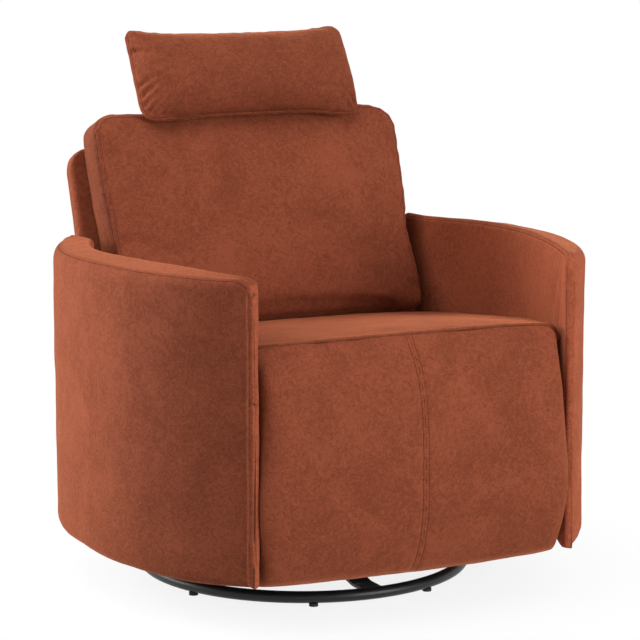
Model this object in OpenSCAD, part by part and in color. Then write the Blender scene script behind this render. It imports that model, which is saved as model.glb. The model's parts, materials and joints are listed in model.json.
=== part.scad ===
// Swivel glider recliner: a barrel-shaped upholstered chair on a round steel ring.
// The ring carries a ball-bearing swivel, the swivel carries four hanging glide links,
// and the body that hangs from them holds the footrest linkage and the reclining back.
// Millimetres, +Z up, the sitter faces -Y. The origin is on the floor under the middle
// of the chair's outline, and the swivel axis lies swivel_y behind it.

/* [Overall] */
// Height of the fabric hem above the floor
hem_z = 94; // [90:1:100]
// Height of the seat's front seam
seat_z = 489; // [484:1:500]
// Height of the arm crest
arm_z = 604; // [585:1:630]
// Half width of the barrel outside
barrel_half = 450; // [440:1:465]
// Thickness of an arm at the widest place
arm_wall = 66; // [63:1:69]
// Gap between the footrest panel and an arm
front_gap = 4.3; // [3:0.1:6]

/* [Ring base] */
// Radius of the ring, to the middle of its tube
ring_r = 289.5; // [275:0.5:300]
// Outside radius of the ring tube
ring_tube_r = 10.5; // [9.5:0.5:12]
// Wall of the ring tube
ring_wall = 2; // [1.5:0.5:3]
// Height of a foot under the tube
foot_h = 5; // [4:1:7]
// Radius of a foot
foot_r = 8; // [6:1:10]
// Width of a cross bar
bar_w = 38; // [32:1:44]
// Thickness of a cross bar
bar_t = 5; // [4:0.5:6]
// Height of the lower cross bar in the middle
hub_z = 36; // [33:1:38]

/* [Swivel] */
// Width of a square swivel plate
plate_w = 180; // [170:2:190]
// Thickness of a swivel plate
plate_t = 4; // [3.5:0.5:5]
// Radius of a bearing ball
ball_r = 4; // [3.5:0.5:4]
// Radius of the circle that the balls run on
race_r = 60; // [50:1:64]
// Number of bearing balls
ball_count = 24; // [16:1:30]
// Radius of the centre bolt
king_r = 8; // [6:1:10]

/* [Glide] */
// Length of a glide link between its pivots
glide_len = 100; // [90:1:104]
// Height of the top glide pivots above the turntable
glide_rise = 182; // [178:1:186]
// Distance of the front and rear glide pivots from the swivel axis
glide_half = 125; // [118:1:130]
// Distance from a glide stand's outer face to the side plate
stand_inset = 26; // [24:1:32]
// Thickness of the pressed steel plates and links
steel_t = 4; // [3.5:0.5:4.5]
// Radius of a glide pin
glide_pin_r = 6; // [5:0.5:7]

/* [Mechanism] */
// Distance from a side plate in to the arm at the widest place
side_room = 158; // [156:1:159]
// Length of the footrest's lift link between its pivots
lift_len = 215; // [212:1:218]
// Angle of the lift link behind straight down, at rest
lift_angle = 16; // [14:1:18]
// Distance between the two swing pivots on the side plate
swing_gap = 95; // [88:1:96]
// Distance of the tie pivots above the carrier pivots
tie_gap = 58; // [55:1:62]
// Radius of a link pin
pin_r = 5; // [4:0.5:5.5]
// Half width of a link
link_r = 10; // [9:0.5:10.5]

/* [Footrest] */
// Height of the footrest panel's fullest line
bulge_z = 250; // [235:1:270]
// Depth of the footrest pad at that line
bulge_t = 73; // [64:1:76]
// Thickness of the footrest board
board_t = 12; // [9:1:13]

/* [Back] */
// Angle of the back from upright, at rest
recline = 19.5; // [18:0.5:21]
// How far the back cushion's edge stands in from the outside back's
cushion_inset = 30; // [25:1:32]
// Thickness of the back cushion at its edge
cushion_t = 78; // [74:1:82]
// Height of the back cushion's top above the seat line
cushion_top = 336; // [328:1:340]
// How far the outside back's edge stands in from the arms at the widest place
back_inset = 54; // [53:1:58]
// Thickness of the back's timber frame
frame_t = 20; // [18:1:22]

/* [Headrest] */
// Half width of the headrest pillow
pillow_half = 213; // [195:1:230]
// Half height of the pillow
pillow_h = 79; // [74:1:80]
// Half thickness of the pillow
pillow_t = 50; // [44:1:52]

/* [Hidden] */

rust = "#a5502f";
black_steel = "#1c1d1f";
zinc = "#9b9da1";
timber = "#cda871";
rubber_black = "#161616";
elastic = "#2b2b2e";

// One overrun serves every cut, and one small gap every pair of pieces that lie together
over = 1;
fit = 0.02;
running = 0.05;
touch = 0.3;
circle_fn = 64;

// Widths that follow the barrel
barrel_inner = barrel_half - arm_wall;
side_x = barrel_inner - side_room;
stand_x = side_x - stand_inset;
outback_half = barrel_inner - back_inset;
cushion_half = outback_half - cushion_inset;

// Ring, feet and cross bars
ring_z = foot_h + ring_tube_r;
foot_count = 8;
foot_turn = 360 / foot_count / 2;
foot_pin_r = 3;
foot_pin_h = 6;
weld = 0.05;
bar_z = hub_z + bar_t;
hub_half = 100;
bar_slope_end = 232;
jog_gap = 2;
jog_run = 7;

// Swivel bearing
lower_z = bar_z + bar_t;
race_gap = 1;
ball_z = lower_z + plate_t + race_gap;
upper_z = ball_z + race_gap;
turn_z = upper_z + plate_t;
corner_share = 1.28;
bolt_inset = 11;
bolt_r = 4;
bolt_head_r = 7;
bolt_head_h = 5;
king_head_r = 14;
king_head_h = 6;

// Turntable channels, stands and glide links
chan_y = 66;
chan_w = 36;
chan_h = 22;
chan_t = 3;
stand_end = 18;
stand_foot_h = 36;
ear_r = 16;
stand_hole_r = 34;
stand_hole_y = 62;
stand_hole_z = 96;
glide_top_z = turn_z + glide_rise;
glide_low_z = glide_top_z - glide_len;
glide_gap = 6;
glide_x = stand_x + glide_gap;
glide_link_r = 12.5;
washer_r = 9;
head_r = 10;
head_t = 3;

// Side plate layers, counted outwards from its inner face
side_out = side_x + steel_t;
layer_gap = 4;
lift_x = side_out + layer_gap;
carrier_x = lift_x + steel_t + over;
rivet_head_r = 8.5;
rivet_head_t = 3;
rivet_play = 0.2;

// Seat heights: rails, springs and foam
seat_foam_t = 97;
foam_z = seat_z - seat_foam_t;
wire_r = 2;
clip_h = 5.6;
rail_top = foam_z - touch - clip_h;
rail_h = 39;
rail_t = 20;
rail_gap = 6;
rail_x = side_x - rail_gap;
rail_front_y = -368;
rail_rear_y = 98;

// Footrest pivots, in the plane of the side plate
pad_rear_y = -397;
board_rear_y = pad_rear_y + board_t;
pad_drop = 5;
pad_top = seat_z - pad_drop;
hinge_set = 12;
hinge_z = 240;
lift_pivot_y = -205;
lift_pivot_drop = 58;
hinge = [board_rear_y + hinge_set, hinge_z];
lift_pivot = [lift_pivot_y, rail_top - lift_pivot_drop];
lift_end = lift_pivot + lift_len * [sin(lift_angle), -cos(lift_angle)];
tie_rear = lift_end + [0, tie_gap];
tie_front = hinge + [0, tie_gap];
carrier_len = norm(hinge - lift_end);
carrier_dir = (hinge - lift_end) / carrier_len;
swing_pivot = lift_pivot + swing_gap * carrier_dir;
swing_end = lift_end + swing_gap * carrier_dir;
torque_r = 10;
torque_wall = 2;

// Side plate outline: margins round the pivots
plate_margin = 18;
plate_top = rail_top;
glide_front = [-glide_half, glide_low_z];
glide_rear = [glide_half, glide_low_z];

// Back: its own frame leans by recline, t runs rearwards and w upwards
back_y = 127;
pivot_t = 68;
pivot_w = -95;
back_pivot = [back_y + pivot_t * cos(recline) + pivot_w * sin(recline),
    seat_z - pivot_t * sin(recline) + pivot_w * cos(recline)];
pivot_r = 6;
pivot_boss_r = 16;

// Arm and barrel outline
barrel_y = -30;
outer_front = 490;
outer_rear = 460;
outer_front_power = 2.4;
outer_rear_power = 2.1;
inner_front = 738;
inner_rear = 402;
inner_front_power = 1.6;
back_gap = 3.5;
back_gap_x = outback_half + back_gap;
arm_front_y = -425;
arm_rear_y = 244;
arm_top_drop = 14;
arm_crest_y = -250;
arm_crest_power = 1.3;
pad_wall = 22;
function barrel(half, reach, power, y) =
    half * pow(1 - pow(abs(y - barrel_y) / reach, power), 1 / power);
function outer_x(y) = y < barrel_y ? barrel(barrel_half, outer_front, outer_front_power, y)
    : barrel(barrel_half, outer_rear, outer_rear_power, y);
function inner_x(y) = y < barrel_y ? barrel(barrel_inner, inner_front, inner_front_power, y)
    : max(back_gap_x, barrel(barrel_inner, inner_rear, 2, y));

// Both reaches of the outline at rest set where the middle lies
outback_top_room = 13;
frame_high_w = 285;
outback_top = frame_high_w + outback_top_room;
outback_deep = 113;
outback_crown = 16;
front_reach = bulge_t - pad_rear_y;
rear_reach = back_y + outback_top * sin(recline) + (outback_deep + outback_crown) * cos(recline);
swivel_y = (front_reach - rear_reach) / 2;

module placed() translate([0, swivel_y, 0]) children();
module both_sides() {
    children();
    mirror([1, 0, 0]) children();
}
module left() mirror([1, 0, 0]) children();
module in_back() translate([0, back_y, seat_z]) rotate([-recline, 0, 0]) children();

// A plate in the YZ plane from a 2D outline, its lower face at x
module side_sheet(x, t) translate([x, 0, 0]) rotate([90, 0, 90]) linear_extrude(height = t) children();
// A round bar along X at a point of the YZ plane
module pin_x(p, r, x, len) translate([x, p[0], p[1]]) rotate([0, 90, 0])
    cylinder(r = r, h = len, $fn = circle_fn);
// The 2D outline of a straight link: two round eyes, with a narrower waist between them
waist_share = 0.8;
module bar_2d(a, b, r) {
    d = b - a;
    translate(a) circle(r = r, $fn = circle_fn);
    translate(b) circle(r = r, $fn = circle_fn);
    translate(a) rotate(atan2(d[1], d[0])) translate([0, -r * waist_share])
        square([norm(d), 2 * r * waist_share]);
}
module hole_2d(p, r) translate(p) circle(r = r, $fn = circle_fn);

// A closed skin through rings of equal count. Seen from the far end, each ring runs
// anticlockwise. Both ends are closed by fans round their middles.
function ring_mid(ring) = [for (k = [0:2]) [for (p = ring) p[k]] * [for (p = ring) 1] / len(ring)];
module loft(rings) {
    n = len(rings);
    m = len(rings[0]);
    points = concat([for (ring = rings) each ring], [ring_mid(rings[0]), ring_mid(rings[n - 1])]);
    side_a = [for (i = [0:n - 2], j = [0:m - 1])
        [i * m + j, (i + 1) * m + (j + 1) % m, i * m + (j + 1) % m]];
    side_b = [for (i = [0:n - 2], j = [0:m - 1])
        [i * m + j, (i + 1) * m + j, (i + 1) * m + (j + 1) % m]];
    start = [for (j = [0:m - 1]) [n * m, j, (j + 1) % m]];
    end = [for (j = [0:m - 1]) [n * m + 1, (n - 1) * m + (j + 1) % m, (n - 1) * m + j]];
    polyhedron(points = points, faces = concat(side_a, side_b, start, end), convexity = 6);
}
function signed_power(v, p) = (v < 0 ? -1 : 1) * pow(abs(v), p);
// How far a corner of radius r has fallen away at distance d from the side's middle
function corner_fall(d, half, r) =
    let (s = max(0, min(1, (d - half + r) / r))) r - r * sqrt(1 - s * s);

// Ring base

module ring_solid(r) translate([0, 0, ring_z]) rotate_extrude($fn = circle_fn)
    translate([ring_r, 0]) circle(r = r, $fn = circle_fn);
module at_feet() for (i = [0:foot_count - 1]) rotate(foot_turn + i * 360 / foot_count)
    translate([ring_r, 0, 0]) children();

module base_ring() color(black_steel) difference() {
    ring_solid(ring_tube_r);
    ring_solid(ring_tube_r - ring_wall);
    at_feet() cylinder(r = foot_pin_r + fit, h = ring_z, $fn = circle_fn);
}

module ring_feet() color(rubber_black) at_feet() {
    cylinder(r = foot_r, h = foot_h, $fn = circle_fn);
    cylinder(r = foot_pin_r, h = foot_h + foot_pin_h, $fn = circle_fn);
}

function mirrored(path) = concat([for (i = [len(path) - 1:-1:1]) [-path[i][0], path[i][1]]], path);
function thick(path, t) = concat(path, [for (i = [len(path) - 1:-1:0]) path[i] + [0, t]]);
function bar_path(middle) = concat(middle, [[hub_half, bar_z], [bar_slope_end, ring_z], [ring_r, ring_z]]);
module cross_bar(middle) difference() {
    translate([0, bar_w / 2, 0]) rotate([90, 0, 0]) linear_extrude(height = bar_w)
        polygon(thick(mirrored(bar_path(middle)), bar_t));
    ring_solid(ring_tube_r + weld);
    cylinder(r = king_r + fit, h = lower_z, $fn = circle_fn);
    for (s = [-1, 1]) translate([s * (plate_w / 2 - bolt_inset), 0, 0])
        cylinder(r = bolt_r + fit, h = lower_z, $fn = circle_fn);
}

module cross_bar_side() color(black_steel) cross_bar([[0, hub_z], [bar_w / 2 + jog_gap, hub_z],
    [bar_w / 2 + jog_gap + jog_run, bar_z]]);

module cross_bar_front() color(black_steel) rotate(90) cross_bar([[0, bar_z]]);

// Swivel bearing

module swivel_plate(z) translate([0, 0, z]) linear_extrude(height = plate_t) intersection() {
    square(plate_w, center = true);
    circle(r = plate_w / 2 * corner_share, $fn = circle_fn);
}
module race() translate([0, 0, ball_z]) rotate_extrude($fn = circle_fn)
    translate([race_r, 0]) circle(r = ball_r + running, $fn = circle_fn);

module swivel_plate_lower() color(zinc) difference() {
    swivel_plate(lower_z);
    race();
    translate([0, 0, bar_z]) cylinder(r = king_r + fit, h = ball_z - bar_z, $fn = circle_fn);
    for (i = [0:3]) rotate(90 * i) translate([plate_w / 2 - bolt_inset, 0, bar_z])
        cylinder(r = bolt_r + fit, h = ball_z - bar_z, $fn = circle_fn);
}

module swivel_balls() color(zinc) for (i = [0:ball_count - 1]) rotate(i * 360 / ball_count)
    translate([race_r, 0, ball_z]) sphere(r = ball_r, $fn = circle_fn);

module king_bolt() color(zinc) {
    translate([0, 0, hub_z - king_head_h]) cylinder(r = king_head_r, h = king_head_h, $fn = 6);
    translate([0, 0, hub_z - over]) cylinder(r = king_r, h = turn_z + touch + over - hub_z + over,
        $fn = circle_fn);
    translate([0, 0, turn_z + touch]) cylinder(r = king_head_r, h = king_head_h, $fn = 6);
}

module hub_bolts() color(zinc) for (i = [0:3]) rotate(90 * i) {
    translate([plate_w / 2 - bolt_inset, 0, bar_z]) {
        cylinder(r = bolt_r, h = bar_t + plate_t, $fn = circle_fn);
        translate([0, 0, -bolt_head_h]) cylinder(r = bolt_head_r, h = bolt_head_h, $fn = 6);
    }
}

// Turntable

module at_channel_bolts() for (sx = [-1, 1], sy = [-1, 1]) translate([sx * chan_y, sy * chan_y, upper_z])
    children();

module swivel_plate_upper() color(zinc) difference() {
    swivel_plate(upper_z);
    race();
    translate([0, 0, ball_z]) cylinder(r = king_r + running, h = turn_z, $fn = circle_fn);
    at_channel_bolts() translate([0, 0, -over]) cylinder(r = bolt_r + fit, h = plate_t + 2 * over,
        $fn = circle_fn);
}

module turntable_channels() color(black_steel) for (s = [-1, 1]) difference() {
    translate([steel_t - stand_x, s * chan_y - chan_w / 2, turn_z])
        cube([2 * (stand_x - steel_t), chan_w, chan_h]);
    translate([-stand_x, s * chan_y - chan_w / 2 + chan_t, turn_z + chan_t])
        cube([2 * stand_x, chan_w - 2 * chan_t, chan_h]);
    at_channel_bolts() cylinder(r = bolt_r + fit, h = chan_h, $fn = circle_fn);
}

module turntable_bolts() color(zinc) at_channel_bolts() {
    cylinder(r = bolt_r, h = plate_t + chan_t, $fn = circle_fn);
    translate([0, 0, plate_t + chan_t]) cylinder(r = bolt_head_r, h = bolt_head_h, $fn = 6);
}

module glide_stand() color(black_steel) side_sheet(stand_x - steel_t, steel_t) difference() {
    union() {
        polygon([[-glide_half - stand_end, turn_z], [glide_half + stand_end, turn_z],
            [glide_half + stand_end, turn_z + stand_foot_h], [glide_half + ear_r, glide_top_z],
            [-glide_half - ear_r, glide_top_z], [-glide_half - stand_end, turn_z + stand_foot_h]]);
        for (s = [-1, 1]) hole_2d([s * glide_half, glide_top_z], ear_r);
    }
    for (s = [-1, 1]) {
        hole_2d([s * glide_half, glide_top_z], glide_pin_r + fit);
        hole_2d([s * stand_hole_y, turn_z + stand_hole_z], stand_hole_r);
    }
}
module glide_stand_left() left() glide_stand();
module glide_stand_right() glide_stand();

// A headed pin along X: it runs from its head inside the stand to a cap outside the link
module glide_top_pins() color(zinc) both_sides() for (s = [-1, 1]) {
    p = [s * glide_half, glide_top_z];
    pin_x(p, glide_pin_r, stand_x - steel_t - head_t,
        glide_x + 2 * head_t + 2 * steel_t + rivet_play - stand_x);
    pin_x(p, head_r, stand_x - steel_t - head_t, head_t);
    pin_x(p, washer_r, stand_x, glide_x - stand_x - rivet_play);
    pin_x(p, head_r, glide_x + steel_t + rivet_play, head_t);
}

module glide_link(s) side_sheet(glide_x, steel_t) difference() {
    bar_2d([s * glide_half, glide_low_z], [s * glide_half, glide_top_z], glide_link_r);
    hole_2d([s * glide_half, glide_low_z], glide_pin_r + running);
    hole_2d([s * glide_half, glide_top_z], glide_pin_r + running);
}
module glide_links_front() color(black_steel) both_sides() glide_link(-1);
module glide_links_rear() color(black_steel) both_sides() glide_link(1);

// Carriage: side plates, tubes and glide pins

module glide_bottom_pins() color(zinc) both_sides() for (s = [-1, 1]) {
    p = [s * glide_half, glide_low_z];
    pin_x(p, glide_pin_r, glide_x - rivet_play - head_t, side_out + rivet_play + 2 * head_t - glide_x);
    pin_x(p, head_r, glide_x - rivet_play - head_t, head_t);
    pin_x(p, washer_r, glide_x + steel_t + rivet_play, side_x - glide_x - steel_t - rivet_play);
    pin_x(p, head_r, side_out, head_t);
}

tube_r = 12.5;
tube_wall = 2;
tube_front = [-100, 300];
tube_rear = [100, 300];
plate_hole_r = 30;
plate_holes = [[-28, 180], [-30, 290], [45, 290], [-150, 240]];
side_bolt_y = [-255, -60, 60];
bolt_drop = 19;

module side_plate() color(black_steel) side_sheet(side_x, steel_t) difference() {
    union() {
        polygon([glide_rear + [plate_margin, -plate_margin], glide_rear + [plate_margin, plate_margin],
            [glide_rear[0] - plate_margin / 2, plate_top - 2 * pivot_boss_r],
            back_pivot + [0, -pivot_boss_r], back_pivot + [0, pivot_boss_r],
            [rail_rear_y, plate_top], [swing_pivot[0] - plate_margin, plate_top],
            swing_pivot + [-plate_margin, -plate_margin], lift_pivot + [-plate_margin, -plate_margin],
            glide_front + [-2 * plate_margin, plate_margin],
            glide_front + [-plate_margin, -plate_margin]]);
        hole_2d(back_pivot, pivot_boss_r);
        hole_2d(lift_pivot, plate_margin);
    }
    hole_2d(glide_front, glide_pin_r + fit);
    hole_2d(glide_rear, glide_pin_r + fit);
    hole_2d(lift_pivot, torque_r + running);
    hole_2d(swing_pivot, pin_r + fit);
    hole_2d(back_pivot, pivot_r + fit);
    hole_2d(tube_front, tube_r + fit);
    hole_2d(tube_rear, tube_r + fit);
    for (p = plate_holes) hole_2d(p, plate_hole_r);
    for (y = side_bolt_y) hole_2d([y, rail_top - bolt_drop], bolt_r + fit);
    for (y = bracket_y) hole_2d([y + bracket_foot / 2, bracket_z], bolt_r + fit);
}
module side_plate_left() left() side_plate();
module side_plate_right() side_plate();

module cross_tubes() color(black_steel) for (p = [tube_front, tube_rear]) difference() {
    pin_x(p, tube_r, -side_out, 2 * side_out);
    pin_x(p, tube_r - tube_wall, -side_out - over, 2 * side_out + 2 * over);
}

// Seat frame, springs and cushion

module seat_rail_front() color(timber)
    translate([-rail_x, rail_front_y, rail_top - rail_h]) cube([2 * rail_x, rail_t, rail_h]);
module seat_rail_rear() color(timber)
    translate([-rail_x, rail_rear_y - rail_t, rail_top - rail_h]) cube([2 * rail_x, rail_t, rail_h]);
module seat_rails_side() color(timber) both_sides() difference() {
    translate([rail_x - rail_t, rail_front_y + rail_t, rail_top - rail_h])
        cube([rail_t, rail_rear_y - rail_front_y - 2 * rail_t, rail_h]);
    for (y = side_bolt_y) pin_x([y, rail_top - bolt_drop], bolt_r + fit, rail_x - rail_t - over,
        rail_t + 2 * over);
}
module seat_bolts() color(zinc) both_sides() for (y = side_bolt_y) {
    p = [y, rail_top - bolt_drop];
    pin_x(p, bolt_head_r, rail_x - rail_t - head_t, head_t);
    pin_x(p, bolt_r, rail_x - rail_t - head_t, side_out + 2 * head_t - rail_x + rail_t);
    pin_x(p, washer_r, rail_x, side_x - rail_x);
    pin_x(p, bolt_head_r, side_out, head_t);
}

spring_pitch_share = 0.473;
spring_pitch = rail_x * spring_pitch_share;
spring_x = [for (i = [-1.5:1:1.5]) i * spring_pitch];
spring_amp = 24;
spring_loops = 9;
spring_steps = 8;
spring_sides = 6;
spring_lead = 18;
spring_z = rail_top + clip_h / 2;
spring_inset = 3;
spring_y0 = rail_front_y + spring_inset;
spring_y1 = rail_rear_y - spring_inset;
clip_w = 16;
clip_len = 12;
function spring_point(s) =
    let (run = spring_y1 - spring_y0, y = spring_y0 + run * s,
        near = min(y - spring_y0, spring_y1 - y), swing = max(0, min(1, near / spring_lead - 1)))
    [spring_amp * swing * sin(360 * spring_loops * s), y, spring_z];
function wire_ring(p, dir) = [for (j = [0:spring_sides - 1]) let (a = 360 * j / spring_sides)
    p + wire_r * (cos(a) * [dir[1], -dir[0], 0] + sin(a) * [0, 0, -1])];
module zigzag_spring() {
    n = spring_loops * spring_steps;
    path = [for (i = [0:n]) spring_point(i / n)];
    rings = [for (i = [0:n]) let (d = path[min(i + 1, n)] - path[max(i - 1, 0)])
        wire_ring(path[i], d / norm(d))];
    loft(rings);
}
module seat_springs() color(black_steel) for (x = spring_x) translate([x, 0, 0]) zigzag_spring();

module spring_clips() color(zinc) for (x = spring_x, end = [0, 1]) translate([x, 0, rail_top]) {
    y = end == 0 ? spring_y0 + touch : spring_y1 - clip_len - touch;
    difference() {
        translate([-clip_w / 2, y, 0]) cube([clip_w, clip_len, clip_h]);
        translate([0, y - over, clip_h / 2]) rotate([-90, 0, 0])
            cylinder(r = wire_r + fit, h = clip_len + 2 * over, $fn = circle_fn);
    }
}

seat_rear_y = 113;
seat_gap = 2.5;
lip_y = -401;
lip_drop = 3.6;
lip_z = seat_z - lip_drop;
seat_front_y = -362;
seat_edge = 1;
seat_rise = 1;
seat_crown = 7;
seat_crown_run = 150;
seat_fall = 58;
seat_fall_power = 1.1;
seat_rear_cut = 8;
lip_corner_r = 34;
lip_step = [0, 2, 7, 20];
lip_full_share = [0.3, 0.6, 0.95, 1];
seat_station_share = [0.008, 0.05, 0.15, 0.28, 0.42, 0.55, 0.68, 0.8, 0.88, 0.94, 0.975, 0.99];
seat_section_share = [[-0.985, 0], [-1, 0.1], [-1, 0.6], [-0.99, 0.8], [-0.96, 0.92], [-0.9, 0.98],
    [-0.6, 1], [-0.3, 1], [0, 1], [0.3, 1], [0.6, 1], [0.9, 0.98], [0.96, 0.92], [0.99, 0.8],
    [1, 0.6], [1, 0.1], [0.985, 0]];
function seat_top(y) = seat_z + seat_rise
    - seat_fall * pow(max(0, y - seat_front_y) / (seat_rear_y - seat_front_y), seat_fall_power);
function seat_dome(y) = seat_crown * min(1, (y - lip_y) / seat_crown_run + seat_edge / seat_crown);
function seat_ring(y, floor_z, top_z) =
    let (w = inner_x(y) - seat_gap - corner_fall(-y, -lip_y, lip_corner_r))
    [for (s = seat_section_share) [w * s[0], y,
        floor_z + (top_z - floor_z) * s[1] + seat_dome(y) * s[1] * (1 - s[0] * s[0])]];
module seat_cushion() color(rust) {
    lip = [for (i = [0:3]) seat_ring(lip_y + lip_step[i], lip_z,
        lip_z + (seat_top(lip_y) - lip_z) * lip_full_share[i])];
    body = [for (s = seat_station_share) let (y = seat_front_y + s * (seat_rear_y - seat_front_y))
        seat_ring(y, foam_z, seat_top(y))];
    loft(concat(lip, [seat_ring(seat_front_y, lip_z, seat_top(seat_front_y))], body,
        [seat_ring(seat_rear_y, foam_z + seat_rear_cut, seat_top(seat_rear_y) - seat_rear_cut)]));
}

// Arms

arm_station_y = [-420, -405, -385, -360, -330, -290, -240, -180, -110, -50, 0, 50, 100, 140, 170, 200, 220];
arm_section_share = [[0.08, 0], [0, 0.012], [-0.02, 0.4], [0, 0.75], [0, 0.97], [0.06, 0.99], [0.2, 1],
    [0.45, 0.999], [0.68, 0.991], [0.86, 0.976], [0.97, 0.953], [1, 0.92], [1, 0.7], [1.01, 0.4], [1, 0.012],
    [0.92, 0]];
arm_nose_r = 28;
nose_step = [12, 10, 6, 0];
nose_slim_share = [0.3, 0.6, 0.85, 1];
nose_drop = [8, 5, 2, 0];
tail_step = [14, 9, 4, 0];
tail_slim_share = [1, 0.9, 0.75, 0.5];
tail_drop = [0, 2, 5, 10];
function arm_top(y) = arm_z - (y > arm_crest_y
    ? arm_top_drop * pow((y - arm_crest_y) / (arm_rear_y - arm_crest_y), arm_crest_power)
    : corner_fall(-y, -arm_front_y + arm_nose_r / 3, arm_nose_r));
// The wall's section at y, narrowed about its middle by slim near both ends
function arm_ring(y, slim, drop) =
    let (a = inner_x(max(y, arm_front_y)), b = outer_x(max(y, arm_front_y)), mid = (a + b) / 2,
        top = arm_top(y) - drop)
    [for (s = arm_section_share) [mid + slim * (a - mid + (b - a) * s[0]), y,
        hem_z + (top - hem_z) * s[1]]];
module arm_solid() {
    nose = [for (i = [0:3]) arm_ring(arm_front_y - nose_step[i], nose_slim_share[i], nose_drop[i])];
    tail = [for (i = [0:3]) arm_ring(arm_rear_y - tail_step[i], tail_slim_share[i], tail_drop[i])];
    loft(concat(nose, [for (y = arm_station_y) arm_ring(y, 1, 0)], tail));
}

// The timber arm frame follows the barrel inside the padding
arm_frame_y = [-296, -250, -200, -150, -100, -50, 0, 50, 100, 148];
frame_lift = 4;
frame_cover = 40;
frame_base_z = hem_z + frame_lift;
frame_top_z = arm_z - frame_cover;
frame_rail_h = 38;
frame_post_w = 36;
post_y = [-278, -80, 25, 130];
module frame_plan(wall) polygon(concat([for (y = arm_frame_y) [inner_x(y) + wall, y]],
    [for (i = [len(arm_frame_y) - 1:-1:0]) [outer_x(arm_frame_y[i]) - wall, arm_frame_y[i]]]));
module arm_frame() color(timber) difference() {
    translate([0, 0, frame_base_z]) linear_extrude(height = frame_top_z - frame_base_z)
        intersection() {
            frame_plan(pad_wall + touch);
            translate([0, arm_frame_y[0] + touch])
                square([barrel_half, arm_frame_y[9] - arm_frame_y[0] - 2 * touch]);
        }
    for (i = [0:len(post_y) - 2])
        translate([0, post_y[i] + frame_post_w / 2, frame_base_z + frame_rail_h])
            cube([barrel_half, post_y[i + 1] - post_y[i] - frame_post_w,
                frame_top_z - frame_base_z - 2 * frame_rail_h]);
    arm_bolt_holes();
}
module arm_frame_left() left() arm_frame();
module arm_frame_right() arm_frame();

module arm_cover() color(rust) difference() {
    arm_solid();
    translate([0, 0, hem_z - over]) linear_extrude(height = frame_top_z + touch - hem_z + over)
        frame_plan(pad_wall);
    arm_bolt_holes();
}
module arm_cover_left() left() arm_cover();
module arm_cover_right() arm_cover();

// Steel brackets carry the arms from the side plates
bracket_y = [-95, 10];
bracket_z = 180;
bracket_h = 40;
bracket_foot = 30;
bracket_t = 3;
arm_bolt_len = 44;
bracket_seat = 1.6;
function bracket_end(y) = min(inner_x(y), inner_x(y + bracket_foot)) - bracket_seat;
module arm_bolt_holes() for (y = bracket_y)
    pin_x([y + bracket_foot / 2, bracket_z], bolt_r + fit, bracket_end(y) - over,
        arm_bolt_len + touch - bracket_t);
module arm_brackets() color(black_steel) both_sides() for (y = bracket_y) difference() {
    union() {
        translate([side_out, y, bracket_z - bracket_h / 2])
            cube([bracket_end(y) - side_out, bracket_t, bracket_h]);
        translate([side_out, y, bracket_z - bracket_h / 2]) cube([bracket_t, bracket_foot, bracket_h]);
        translate([bracket_end(y) - bracket_t, y, bracket_z - bracket_h / 2])
            cube([bracket_t, bracket_foot, bracket_h]);
    }
    pin_x([y + bracket_foot / 2, bracket_z], bolt_r + fit, side_out - over, barrel_half - side_out);
}
module arm_bolts() color(zinc) both_sides() for (y = bracket_y) {
    p = [y + bracket_foot / 2, bracket_z];
    pin_x(p, bolt_r, bracket_end(y) - bracket_t - over, arm_bolt_len);
    pin_x(p, bolt_head_r, bracket_end(y) - bracket_t - head_t, head_t);
    pin_x(p, bolt_r, side_x - over, steel_t + bracket_t + 2 * over);
    pin_x(p, bolt_head_r, side_x - head_t, head_t);
    pin_x(p, bolt_head_r, side_out + bracket_t, head_t);
}

// Timber rails join the arms at the front and the rear, low down
front_rail_y = -345;
rear_rail_y = 192;
body_rail_t = 20;
front_rail_h = 28;
rear_rail_h = 38;
body_rail_lift = 3;
rail_base_z = hem_z + body_rail_lift;
module body_rails() color(timber) {
    front_x = inner_x(front_rail_y) - 2 * touch;
    rear_x = back_gap_x - 2 * touch;
    translate([-front_x, front_rail_y, rail_base_z]) cube([2 * front_x, body_rail_t, front_rail_h]);
    translate([-rear_x, rear_rail_y, rail_base_z]) cube([2 * rear_x, body_rail_t, rear_rail_h]);
}

// Fixed lower panel that closes the barrel between the arms' rear ends
rear_panel_top = 330;
rear_bow = 12;
rear_panel_y = rear_rail_y + body_rail_t + touch;
rear_panel_t = 26;
panel_gap = 1.6;
panel_steps = 12;
function bow_y(s) = rear_bow * (1 - s * s);
module rear_panel() color(rust) {
    w = back_gap_x - panel_gap;
    translate([0, rear_panel_y, hem_z]) linear_extrude(height = rear_panel_top - hem_z)
        polygon(concat([[-w, 0], [w, 0]], [for (i = [0:panel_steps]) let (s = 1 - 2 * i / panel_steps)
            [w * s, rear_panel_t + bow_y(s)]]));
}

// Footrest linkage

module rivet(p, x0, x1) {
    pin_x(p, pin_r, x0, x1 - x0);
    pin_x(p, rivet_head_r, x0, rivet_head_t);
    pin_x(p, rivet_head_r, x1 - rivet_head_t, rivet_head_t);
}
rivet_in = lift_x - rivet_head_t - rivet_play;
rivet_out = carrier_x + steel_t + rivet_head_t + rivet_play;

// The swing pivots' rivets stand on the side plates, with a washer under the link
module swing_rivets() color(zinc) both_sides() {
    rivet(swing_pivot, side_x - rivet_head_t, lift_x + steel_t + rivet_head_t + rivet_play);
    pin_x(swing_pivot, washer_r, side_out, layer_gap - rivet_play);
}

module torque_tube() color(black_steel) difference() {
    union() {
        pin_x(lift_pivot, torque_r, -lift_x - steel_t, 2 * lift_x + 2 * steel_t);
        both_sides() pin_x(lift_pivot, torque_r + torque_wall, side_out + rivet_play,
            lift_x - side_out - rivet_play);
    }
    pin_x(lift_pivot, torque_r - torque_wall, -lift_x - steel_t - over, 2 * (lift_x + steel_t + over));
}

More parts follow.
